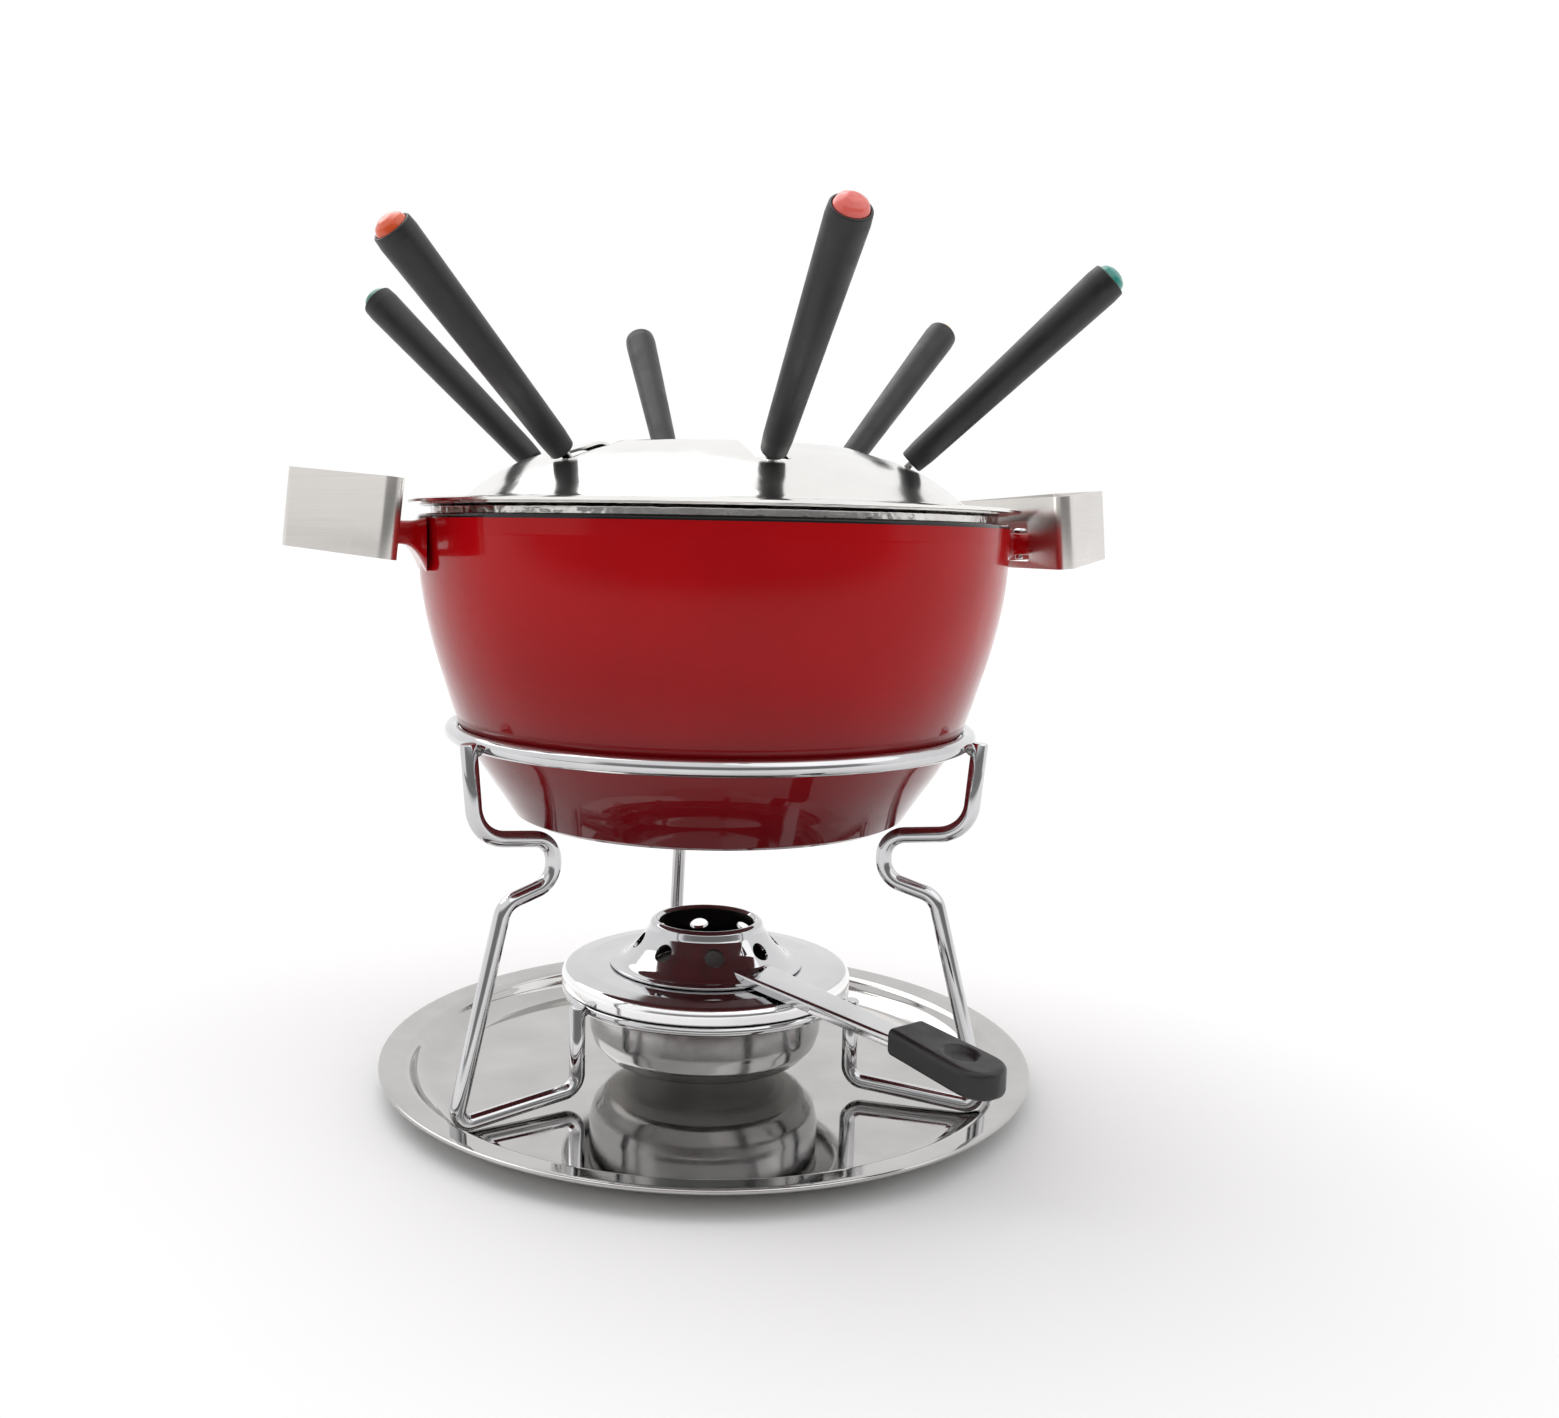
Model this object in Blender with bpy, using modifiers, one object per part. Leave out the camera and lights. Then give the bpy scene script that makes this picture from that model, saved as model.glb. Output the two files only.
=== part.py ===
"""Fondue set: enamelled pot on a wire stand over a fuel burner, in a round tray, with six forks.

Metres, +Z up. The tray stands on z = 0 with its centre on the Z axis, and the pot's two
side handles lie along X. All driving sizes are the millimetre constants below.
"""
import math

import bmesh
import bpy
from mathutils import Matrix, Vector

MM = 0.001
GAP = 0.3                    # clearance between touching pieces

# Tray
TRAY_RADIUS = 127.0
TRAY_FLOOR_RADIUS = 104.0
TRAY_RIM_HEIGHT = 10.8
TRAY_SHEET = 1.0

# Wire stand
WIRE_RADIUS = 3.0
POT_RING_RADIUS = 98.2       # centreline of the ring that carries the pot
POT_RING_HEIGHT = 138.4
BURNER_RING_RADIUS = 54.7
BURNER_RING_WIRE = 2.0
BURNER_RING_HEIGHT = 35.7
POST_RADIUS = 60.0
POST_TOP = 38.1
LEG_TOP = 139.8
LEG_FOOT_RADIUS = 111.0
LEG_ANGLES = (83.0, 203.0, 323.0)

# Fuel burner
CUP_RADIUS = 45.6
CUP_BOTTOM = 6.8
CUP_FLANGE_RADIUS = 54.6
CUP_FLANGE_HEIGHT = 39.0
COVER_RADIUS = 56.7
COVER_TOP = 45.4
COVER_MOUTH = 20.0
REGULATOR_RADIUS = 38.0
REGULATOR_MOUTH = 18.0
AIR_HOLES = 8
AIR_HOLE_RADIUS = 3.7
LEVER_ANGLE = 292.0
GRIP_START = 110.5
GRIP_END = 152.0

# Pot
POT_RIM_RADIUS = 110.2
POT_RIM_HEIGHT = 217.6
POT_BOTTOM = 106.0
POT_MOUTH_RADIUS = 106.0
POT_LEDGE_HEIGHT = 213.4
LUG_HEIGHT = 210.8
LUG_THICKNESS = 8.0
LUG_WIDTH = 46.0
LUG_END = 132.0
PIN_AXIS_X = 127.4

# Side handles: a band bent to a blunt triangle in plan
BAND_INNER_X = 118.0
BAND_OUTER_X = 155.0
BAND_INNER_HALF = 55.0
BAND_OUTER_HALF = 17.5
BAND_THICKNESS = 2.0
BAND_HEIGHT = 26.6
BAND_CENTRE_HEIGHT = 214.8
BAND_TILT = 6.4
WINDOW_WIDTH = 49.0
WINDOW_LOW = 204.2
WINDOW_HIGH = 219.6

# Splash guard
GUARD_RADIUS = 113.4
GUARD_BRIM_HEIGHT = 222.8
GUARD_CREST_HEIGHT = 243.0
GUARD_MOUTH = 44.0
GUARD_SHEET = 0.9
COLLAR_RADIUS = 105.2
NOTCH_WIDTH = 12.4
NOTCH_END = 74.6

# Forks
FORK_COUNT = 6
FORK_FIRST_ANGLE = -30.0
FORK_RADIUS = 72.2
FORK_HEIGHT = 238.1
FORK_LEAN = 46.7
FORK_HANDLE_START = 2.6
FORK_HANDLE_END = 92.6
FORK_CAP_END = 95.8
FORK_STEM_RADIUS = 1.6
FORK_TIP = -86.0
FORK_CAP_COLOURS = (
    ("teal", (0.02, 0.36, 0.28)),
    ("yellow", (0.80, 0.52, 0.03)),
    ("blue", (0.02, 0.12, 0.50)),
    ("green", (0.03, 0.30, 0.14)),
    ("orange", (0.80, 0.11, 0.02)),
    ("coral", (0.82, 0.13, 0.10)),
)


# ---------------------------------------------------------------- helpers

def clear_scene():
    for item in list(bpy.data.objects):
        bpy.data.objects.remove(item, do_unlink=True)


def make_collection(name):
    group = bpy.data.collections.new(name)
    bpy.context.scene.collection.children.link(group)
    return group


def make_material(name, colour, metallic, roughness, coat=0.0):
    material = bpy.data.materials.new(name)
    material.use_nodes = True
    shader = material.node_tree.nodes["Principled BSDF"]
    shader.inputs["Base Color"].default_value = (*colour, 1.0)
    shader.inputs["Metallic"].default_value = metallic
    shader.inputs["Roughness"].default_value = roughness
    shader.inputs["Coat Weight"].default_value = coat
    material.diffuse_color = (*colour, 1.0)
    return material


def add_object(name, data, group, material=None):
    item = bpy.data.objects.new(name, data)
    group.objects.link(item)
    if material is not None:
        data.materials.append(material)
    return item


def mark_cutter(item):
    item.hide_render = True
    item.display_type = "WIRE"
    return item


def shade(item, angle=35.0):
    for face in item.data.polygons:
        face.use_smooth = True
    item.data.set_sharp_from_angle(angle=math.radians(angle))


def clockwise(points):
    """Order a profile so that its outer side runs downwards."""
    area = 0.0
    for (x0, z0), (x1, z1) in zip(points, points[1:] + points[:1]):
        area += x0 * z1 - x1 * z0
    return points if area < 0.0 else points[::-1]


def lathe(name, points, group, material=None, steps=48, angle=35.0):
    """Turn a profile of (radius, height) in millimetres round the Z axis.

    A profile that touches the axis starts and ends on it, any other is a closed loop.
    """
    solid = min(x for x, _ in points) < 1e-6
    order = clockwise(list(points))
    if solid:
        while not (order[0][0] < 1e-6 and order[-1][0] < 1e-6):
            order = order[1:] + order[:1]
        if order[0][1] < order[-1][1]:
            order = order[::-1]
    mesh = bpy.data.meshes.new(name)
    verts = [(x * MM, 0.0, z * MM) for x, z in order]
    edges = [(i, i + 1) for i in range(len(verts) - 1)]
    if not solid:
        edges.append((len(verts) - 1, 0))
    mesh.from_pydata(verts, edges, [])
    item = add_object(name, mesh, group, material)
    screw = item.modifiers.new("turn", "SCREW")
    screw.axis = "Z"
    screw.angle = math.tau
    screw.steps = steps
    screw.render_steps = steps
    screw.use_merge_vertices = True
    screw.merge_threshold = 0.00001
    screw.use_smooth_shade = True
    return bake(item, angle)


def bake(item, angle=35.0):
    """Replace an object's data by its evaluated mesh, welded, with sharp creases kept."""
    graph = bpy.context.evaluated_depsgraph_get()
    graph.update()
    result = bpy.data.meshes.new_from_object(item.evaluated_get(graph), depsgraph=graph)
    name = item.name
    materials = [slot for slot in item.data.materials]
    group = item.users_collection[0]
    place = item.matrix_world.copy()
    bpy.data.objects.remove(item, do_unlink=True)
    work = bmesh.new()
    work.from_mesh(result)
    bmesh.ops.remove_doubles(work, verts=work.verts, dist=0.000002)
    bmesh.ops.recalc_face_normals(work, faces=work.faces)
    work.to_mesh(result)
    work.free()
    result.name = name
    result.materials.clear()
    for material in materials:
        result.materials.append(material)
    fresh = bpy.data.objects.new(name, result)
    group.objects.link(fresh)
    fresh.matrix_world = place
    shade(fresh, angle)
    return fresh


def sheet(points, thickness):
    """Closed profile of a sheet whose upper or outer face follows the points, outside in."""
    line = [Vector(p) for p in points]
    inner = []
    for i, here in enumerate(line):
        before = line[max(i - 1, 0)]
        after = line[min(i + 1, len(line) - 1)]
        first = (here - before).normalized() if i > 0 else (after - here).normalized()
        second = (after - here).normalized() if i < len(line) - 1 else first
        middle = (first + second).normalized()
        normal = Vector((-middle.y, middle.x))
        stretch = 1.0 / max(0.5, middle.dot(first))
        inner.append(here + normal * thickness * stretch)
    return [tuple(p) for p in line] + [tuple(p) for p in reversed(inner)]


def circle_profile(radius, height, thick, sides):
    turn = math.tau / sides
    return [
        (radius + thick * math.cos(i * turn), height + thick * math.sin(i * turn))
        for i in range(sides)
    ]


def polar(radius, degrees, height=0.0):
    angle = math.radians(degrees)
    return Vector((radius * math.cos(angle), radius * math.sin(angle), height))


def rounded_path(corners, radii, segments):
    """Polyline through the corners with each inner corner replaced by an arc."""
    path = [Vector(corners[0])]
    for i in range(1, len(corners) - 1):
        here = Vector(corners[i])
        back = (Vector(corners[i - 1]) - here).normalized()
        ahead = (Vector(corners[i + 1]) - here).normalized()
        half = back.angle(ahead) / 2.0
        reach = radii[i - 1] / math.tan(half)
        centre = here + (back + ahead).normalized() * (radii[i - 1] / math.sin(half))
        start = here + back * reach - centre
        end = here + ahead * reach - centre
        sweep = start.angle(end)
        for k in range(segments + 1):
            t = k / segments
            a = math.sin((1.0 - t) * sweep) / math.sin(sweep)
            b = math.sin(t * sweep) / math.sin(sweep)
            path.append(centre + start * a + end * b)
    path.append(Vector(corners[-1]))
    return path


def tube(name, path, radius, group, material, resolution=2):
    """Round wire along a path given in millimetres."""
    curve = bpy.data.curves.new(name, "CURVE")
    curve.dimensions = "3D"
    curve.bevel_depth = radius * MM
    curve.bevel_resolution = resolution
    curve.use_fill_caps = True
    spline = curve.splines.new("POLY")
    spline.points.add(len(path) - 1)
    for point, place in zip(spline.points, path):
        point.co = (place.x * MM, place.y * MM, place.z * MM, 1.0)
    item = add_object(name, curve, group, material)
    return bake(item, 50.0)


def slab(name, loops, low, high, group, material=None, bevel=0.0, angle=35.0):
    """Flat outline loops in millimetres, given thickness from low to high along Z."""
    curve = bpy.data.curves.new(name, "CURVE")
    curve.dimensions = "2D"
    curve.fill_mode = "BOTH"
    curve.extrude = (high - low) / 2.0 * MM
    for loop in loops:
        spline = curve.splines.new("POLY")
        spline.points.add(len(loop) - 1)
        spline.use_cyclic_u = True
        for point, place in zip(spline.points, loop):
            point.co = (place[0] * MM, place[1] * MM, 0.0, 1.0)
    item = add_object(name, curve, group, material)
    item = bake(item, angle)
    item.data.transform(Matrix.Translation((0.0, 0.0, (low + high) / 2.0 * MM)))
    if bevel > 0.0:
        soften(item, bevel)
    return item


def soften(item, width, segments=1):
    edge = item.modifiers.new("soft edge", "BEVEL")
    edge.width = width * MM
    edge.segments = segments
    edge.limit_method = "ANGLE"
    edge.angle_limit = math.radians(35.0)
    return edge


def box(name, low, high, group, material=None):
    mesh = bpy.data.meshes.new(name)
    work = bmesh.new()
    bmesh.ops.create_cube(work, size=1.0)
    size = [(b - a) * MM for a, b in zip(low, high)]
    centre = [(a + b) / 2.0 * MM for a, b in zip(low, high)]
    bmesh.ops.scale(work, vec=size, verts=work.verts)
    bmesh.ops.translate(work, vec=centre, verts=work.verts)
    work.to_mesh(mesh)
    work.free()
    return add_object(name, mesh, group, material)


def cylinder(name, radius, low, high, group, material=None, sides=16):
    mesh = bpy.data.meshes.new(name)
    work = bmesh.new()
    bmesh.ops.create_cone(
        work, cap_ends=True, segments=sides,
        radius1=radius * MM, radius2=radius * MM, depth=(high - low) * MM,
    )
    bmesh.ops.translate(work, vec=(0.0, 0.0, (low + high) / 2.0 * MM), verts=work.verts)
    work.to_mesh(mesh)
    work.free()
    return add_object(name, mesh, group, material)


def boolean(item, other, operation):
    change = item.modifiers.new(operation.lower(), "BOOLEAN")
    change.operation = operation
    change.solver = "EXACT"
    change.object = other
    return change


def combine(item, others, operation, angle=35.0):
    """Boolean an object with others, bake the result and remove the others."""
    bpy.context.view_layer.update()
    for other in others:
        boolean(item, other, operation)
    result = bake(item, angle)
    for other in others:
        bpy.data.objects.remove(other, do_unlink=True)
    return result


def arc(centre_x, centre_y, radius, start, end, count):
    return [
        (
            centre_x + radius * math.cos(math.radians(start + (end - start) * i / count)),
            centre_y + radius * math.sin(math.radians(start + (end - start) * i / count)),
        )
        for i in range(count + 1)
    ]


def rounded_outline(corners, radius, segments):
    """Closed outline with every corner rounded to the same radius."""
    loop = []
    count = len(corners)
    for i in range(count):
        before = Vector((*corners[i - 1], 0.0))
        here = Vector((*corners[i], 0.0))
        after = Vector((*corners[(i + 1) % count], 0.0))
        path = rounded_path([before, here, after], [radius], segments)
        loop += [(p.x, p.y) for p in path[1:-1]]
    return loop


# ---------------------------------------------------------------- tray and stand

def build_tray(group, steel):
    floor = TRAY_SHEET
    radius = TRAY_RADIUS
    rim = TRAY_RIM_HEIGHT
    inner = TRAY_FLOOR_RADIUS
    upper = [
        (0.0, floor), (inner, floor), (inner + 4.2, floor + 0.7), (inner + 7.4, floor + 2.9),
        (inner + 9.8, floor + 6.0), (inner + 11.2, rim - 1.7), (inner + 12.8, rim - 0.8),
        (radius - 1.6, rim), (radius, rim - 0.8),
    ]
    lower = [
        (radius - 0.4, rim - 2.2), (radius - 2.0, rim - 1.3), (inner + 13.0, rim - 1.9),
        (inner + 12.0, rim - 2.7), (inner + 10.7, floor + 5.6), (inner + 8.2, floor + 2.2),
        (inner + 4.6, 0.6), (inner - 0.2, 0.0), (0.0, 0.0),
    ]
    return lathe("tray", upper + lower, group, steel, steps=48)


def build_stand(group, steel):
    ring = circle_profile(POT_RING_RADIUS, POT_RING_HEIGHT, WIRE_RADIUS, 8)
    lathe("pot_ring", ring, group, steel, steps=48)
    low = circle_profile(BURNER_RING_RADIUS, BURNER_RING_HEIGHT, BURNER_RING_WIRE, 6)
    lathe("burner_ring", low, group, steel, steps=32)
    outer = POT_RING_RADIUS + 2.0 * WIRE_RADIUS + GAP
    ground = TRAY_SHEET + WIRE_RADIUS
    corners = [
        (outer, LEG_TOP), (101.8, 106.4), (70.6, 102.8), (70.6, 87.0), (90.7, 81.6),
        (LEG_FOOT_RADIUS, ground), (POST_RADIUS, ground + 2.6), (POST_RADIUS, POST_TOP),
    ]
    flat = [Vector((r, 0.0, z)) for r, z in corners]
    path = rounded_path(flat, [13.0, 9.0, 9.0, 8.0, 5.0, 6.0], 4)
    for number, angle in enumerate(LEG_ANGLES, 1):
        turn = Matrix.Rotation(math.radians(angle), 3, "Z")
        turned = [turn @ p for p in path]
        tube("stand_leg_%d" % number, turned, WIRE_RADIUS, group, steel)


# ---------------------------------------------------------------- burner

def build_burner(group, cutters, steel, wadding, mesh_steel, plastic):
    flange = CUP_FLANGE_HEIGHT
    bottom = CUP_BOTTOM
    cup = [
        (CUP_FLANGE_RADIUS, flange), (CUP_FLANGE_RADIUS, flange - 1.0),
        (CUP_RADIUS, flange - 1.0), (CUP_RADIUS, 20.8), (CUP_RADIUS - 1.6, 14.8),
        (CUP_RADIUS - 6.0, 9.8), (CUP_RADIUS - 13.0, bottom + 0.6), (CUP_RADIUS - 17.0, bottom),
        (0.0, bottom), (0.0, bottom + 1.0), (CUP_RADIUS - 17.0, bottom + 1.0),
        (CUP_RADIUS - 13.2, bottom + 1.6), (CUP_RADIUS - 6.8, 10.6), (CUP_RADIUS - 2.6, 15.2),
        (CUP_RADIUS - 1.0, 21.0), (CUP_RADIUS - 1.0, flange),
    ]
    lathe("burner_cup", cup, group, steel, steps=40)

    pad = [
        (0.0, 32.8), (42.0, 32.8), (43.7, 31.3), (43.7, 22.3), (41.8, 16.4),
        (37.6, 11.7), (31.6, 9.0), (27.6, 8.2), (0.0, 8.2),
    ]
    lathe("fuel_pad", pad, group, wadding, steps=24)

    top = COVER_TOP
    edge = COVER_RADIUS
    mouth = COVER_MOUTH
    skirt = [
        (edge, flange - 0.7), (edge, top - 3.6), (edge - 1.2, top - 1.2), (edge - 4.6, top - 0.3),
        (mouth, top - 0.3), (mouth, top - 1.2), (edge - 4.8, top - 1.2), (edge - 1.7, top - 2.0),
        (edge - 0.9, top - 3.8), (edge - 0.9, flange - 0.7),
    ]
    lathe("burner_cover", skirt, group, steel, steps=40)

    gauze = [
        (0.0, 44.1), (16.0, 43.8), (24.5, 43.8), (24.5, 43.2), (16.0, 43.2), (0.0, 43.5),
    ]
    lathe("fuel_gauze", gauze, group, mesh_steel, steps=24)

    # Regulator: flared ring turned from sheet, lying on the cover
    rest = top
    outside = [
        (REGULATOR_RADIUS, rest), (REGULATOR_RADIUS, rest + 1.0), (34.6, rest + 1.5),
        (31.4, rest + 3.2), (28.0, rest + 6.6), (23.2, rest + 12.4), (22.0, rest + 14.4),
        (21.4, rest + 16.6), (19.6, rest + 17.6), (REGULATOR_MOUTH, rest + 16.2),
    ]
    inside = [
        (20.2, rest + 15.6), (20.9, rest + 13.8), (22.2, rest + 11.8), (27.0, rest + 5.8),
        (30.8, rest + 2.1), (34.4, rest + 0.4), (34.6, rest),
    ]
    cone = lathe("regulator", outside + inside, group, steel, steps=40)
    for i in range(AIR_HOLES):
        name = "hole_%d" % i
        drill = cylinder(name, AIR_HOLE_RADIUS, -7.0, 7.0, cutters, sides=10)
        mark_cutter(drill)
        direction = LEVER_ANGLE - 30.0 + i * 360.0 / AIR_HOLES
        tilt = Matrix.Rotation(math.radians(40.0), 4, "Y")
        spin = Matrix.Rotation(math.radians(direction), 4, "Z")
        place = Matrix.Translation(polar(26.4, direction, rest + 8.7) * MM)
        drill.matrix_world = place @ spin @ tilt
    drills = [bpy.data.objects["hole_%d" % i] for i in range(AIR_HOLES)]
    cone = combine(cone, drills, "DIFFERENCE", 30.0)

    build_lever(group, cutters, steel, plastic, rest, outside)


def build_lever(group, cutters, steel, plastic, rest, outside):
    """Channel lever from the regulator's flare out to the plastic grip, built along X."""
    root = 24.0
    end = GRIP_START + 12.0
    high = rest + 3.8
    slope = 0.026

    def height(x):
        return high - (x - root) * slope

    shoulder = GRIP_START - 0.6
    outline = [
        (root, -9.0), (shoulder, -5.4), (shoulder, -4.0), (end, -4.0),
        (end, 4.0), (shoulder, 4.0), (shoulder, 5.4), (root, 9.0),
    ]
    top = slab("lever", [outline], 0.0, 1.0, group, steel)
    for side, label in ((-1.0, "near"), (1.0, "far")):
        wall = [
            (root, side * 9.0), (shoulder, side * 5.4),
            (shoulder, side * 4.4), (root, side * 8.0),
        ]
        slab("lever_wall_" + label, [wall], -2.7, 0.4, cutters)
    walls = [bpy.data.objects["lever_wall_near"], bpy.data.objects["lever_wall_far"]]
    top = combine(top, walls, "UNION")
    shear = Matrix(((1, 0, 0, 0), (0, 1, 0, 0), (-slope, 0, 1, height(0.0) * MM), (0, 0, 0, 1)))
    top.data.transform(shear)
    room = [(r + 0.5, z + 0.45) for r, z in outside if z < rest + 16.5]
    room = [(REGULATOR_RADIUS + 0.5, rest - 6.0)] + room
    room = [(0.0, rest - 6.0)] + room + [(0.0, room[-1][1])]
    clearance = mark_cutter(lathe("lever_clearance", room, cutters, steps=48))
    top = combine(top, [clearance], "DIFFERENCE", 30.0)
    keep_largest(top)
    top.matrix_world = Matrix.Rotation(math.radians(LEVER_ANGLE), 4, "Z")

    # Grip: a rounded bar with its own fall, slotted for the lever's tongue
    thick = 9.2
    plan = [(GRIP_START, -8.2), (GRIP_END - 9.0, -9.4)]
    plan += arc(GRIP_END - 9.4, 0.0, 9.4, -70.0, 70.0, 8)
    plan += [(GRIP_END - 9.0, 9.4), (GRIP_START, 8.2)]
    grip = slab("lever_grip", [plan], -thick, 0.0, group, plastic)
    crown = height(GRIP_START) + 5.2
    fall = 0.09
    fall_shear = Matrix((
        (1, 0, 0, 0), (0, 1, 0, 0), (-fall, 0, 1, (crown + fall * GRIP_START) * MM), (0, 0, 0, 1),
    ))
    grip.data.transform(fall_shear)
    slot = box("grip_slot", (GRIP_START - 2.0, -4.4, -0.8), (end + 0.6, 4.4, 1.8), cutters)
    slot.data.transform(shear)
    thumb = cylinder("grip_dimple", 5.2, -1.6, 4.0, cutters, sides=20)
    thumb.data.transform(Matrix.Diagonal((1.25, 1.0, 1.0, 1.0)))
    thumb.data.transform(Matrix.Translation(((GRIP_END - 16.0) * MM, 0.0, 0.0)))
    thumb.data.transform(fall_shear)
    grip = combine(grip, [mark_cutter(slot), mark_cutter(thumb)], "DIFFERENCE")
    soften(grip, 0.9, 2)
    grip.matrix_world = Matrix.Rotation(math.radians(LEVER_ANGLE), 4, "Z")


def keep_largest(item):
    """Drop any loose offcut left by a cut."""
    work = bmesh.new()
    work.from_mesh(item.data)
    work.verts.ensure_lookup_table()
    seen = set()
    islands = []
    for vert in work.verts:
        if vert.index in seen:
            continue
        stack = [vert]
        island = []
        seen.add(vert.index)
        while stack:
            here = stack.pop()
            island.append(here)
            for edge in here.link_edges:
                other = edge.other_vert(here)
                if other.index not in seen:
                    seen.add(other.index)
                    stack.append(other)
        islands.append(island)
    islands.sort(key=len, reverse=True)
    spare = [vert for island in islands[1:] for vert in island]
    bmesh.ops.delete(work, geom=spare, context="VERTS")
    work.to_mesh(item.data)
    work.free()


# ---------------------------------------------------------------- pot and handles

def build_pot(group, cutters, enamel):
    rim = POT_RIM_HEIGHT
    outer = [
        (POT_MOUTH_RADIUS, rim - 0.3), (POT_MOUTH_RADIUS + 0.6, rim), (POT_RIM_RADIUS - 1.0, rim),
        (POT_RIM_RADIUS, rim - 1.0), (POT_RIM_RADIUS, rim - 7.0), (109.0, 192.8),
        (106.0, 175.8), (101.6, 159.8), (95.3, 140.0), (88.6, 127.6), (80.6, 115.6),
        (76.2, 109.0), (75.0, 107.1), (73.0, POT_BOTTOM), (0.0, POT_BOTTOM),
    ]
    floor = POT_BOTTOM + 4.6
    inner = [
        (0.0, floor), (66.0, floor), (71.0, floor + 1.6), (75.0, 116.2), (82.0, 126.8),
        (90.0, 141.4), (97.0, 159.8), (101.4, 177.8), (103.6, 193.8), (104.0, POT_LEDGE_HEIGHT),
        (POT_MOUTH_RADIUS, POT_LEDGE_HEIGHT),
    ]
    lathe("pot", outer + inner, group, enamel, steps=48)

    # Lugs: flat tongues that flare where they meet the wall, each bored for its handle pin
    room = [(0.0, 180.0), (0.0, 230.0), (POT_RIM_RADIUS + GAP, 230.0), (POT_RIM_RADIUS + GAP, 180.0)]
    half = LUG_WIDTH / 2.0
    low = LUG_HEIGHT - LUG_THICKNESS / 2.0
    plan = [
        (104.0, -half - 3.0), (112.0, -half - 2.0), (116.0, -half), (LUG_END - 4.0, -half + 2.0),
        (LUG_END, -half + 7.0), (LUG_END, half - 7.0), (LUG_END - 4.0, half - 2.0),
        (116.0, half), (112.0, half + 2.0), (104.0, half + 3.0),
    ]
    for side, label in ((1.0, "right"), (-1.0, "left")):
        lug = slab("pot_lug_" + label, [plan], low, low + LUG_THICKNESS, group, enamel)
        soften(lug, 1.6, 2)
        wall = mark_cutter(lathe("lug_wall", room, cutters, steps=64))
        drill = cylinder("lug_bore", 1.8, low - 3.0, low + LUG_THICKNESS + 3.0, cutters, sides=14)
        drill.data.transform(Matrix.Translation((PIN_AXIS_X * MM, 0.0, 0.0)))
        lug = combine(lug, [wall, mark_cutter(drill)], "DIFFERENCE")
        if side < 0:
            lug.data.transform(Matrix.Rotation(math.pi, 4, "Z"))


def build_handles(group, cutters, steel, pin_steel):
    outer = [
        (BAND_INNER_X, -BAND_INNER_HALF), (BAND_OUTER_X, -BAND_OUTER_HALF),
        (BAND_OUTER_X, BAND_OUTER_HALF), (BAND_INNER_X, BAND_INNER_HALF),
    ]
    t = BAND_THICKNESS
    slant = math.hypot(BAND_OUTER_X - BAND_INNER_X, BAND_INNER_HALF - BAND_OUTER_HALF)
    run = BAND_OUTER_X - BAND_INNER_X
    lean = (BAND_INNER_HALF - BAND_OUTER_HALF) / run
    side = t * slant / run
    near = BAND_INNER_HALF - side - t * lean
    far = BAND_OUTER_HALF - side + t * lean
    inner = [
        (BAND_INNER_X + t, -near), (BAND_OUTER_X - t, -far),
        (BAND_OUTER_X - t, far), (BAND_INNER_X + t, near),
    ]
    loops = [rounded_outline(outer, 3.0, 3), rounded_outline(inner, 1.2, 2)]
    for side, label in ((1.0, "right"), (-1.0, "left")):
        band = slab("handle_" + label, loops, -BAND_HEIGHT / 2.0, BAND_HEIGHT / 2.0, group, steel)
        pivot = Matrix.Translation((BAND_INNER_X * MM, 0.0, BAND_CENTRE_HEIGHT * MM))
        tilt = Matrix.Rotation(math.radians(-BAND_TILT), 4, "Y")
        centre = Matrix.Translation((-BAND_INNER_X * MM, 0.0, 0.0))
        band.data.transform(pivot @ tilt @ centre)
        half = WINDOW_WIDTH / 2.0
        hole = [(-half, WINDOW_LOW), (half, WINDOW_LOW), (half, WINDOW_HIGH), (-half, WINDOW_HIGH)]
        hole = rounded_outline(hole, 2.0, 3)
        cut = slab("window_" + label, [hole], -8.0, 8.0, cutters)
        stand_up = Matrix(((0, 0, 1, BAND_INNER_X * MM), (1, 0, 0, 0), (0, 1, 0, 0), (0, 0, 0, 1)))
        cut.data.transform(stand_up)
        band = combine(band, [mark_cutter(cut)], "DIFFERENCE")
        soften(band, 0.5)
        pin = lathe("handle_pin_" + label, [
            (0.0, LUG_HEIGHT + 6.4), (2.2, LUG_HEIGHT + 6.4), (2.8, LUG_HEIGHT + 5.6),
            (2.8, LUG_HEIGHT + 4.3), (1.5, LUG_HEIGHT + 4.3), (1.5, LUG_HEIGHT - 6.0), (0.0, LUG_HEIGHT - 6.0),
        ], group, pin_steel, steps=12)
        pin.data.transform(Matrix.Translation((PIN_AXIS_X * MM, 0.0, 0.0)))
        if side < 0:
            half_turn = Matrix.Rotation(math.pi, 4, "Z")
            band.data.transform(half_turn)
            pin.data.transform(half_turn)


# ---------------------------------------------------------------- guard and forks

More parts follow.
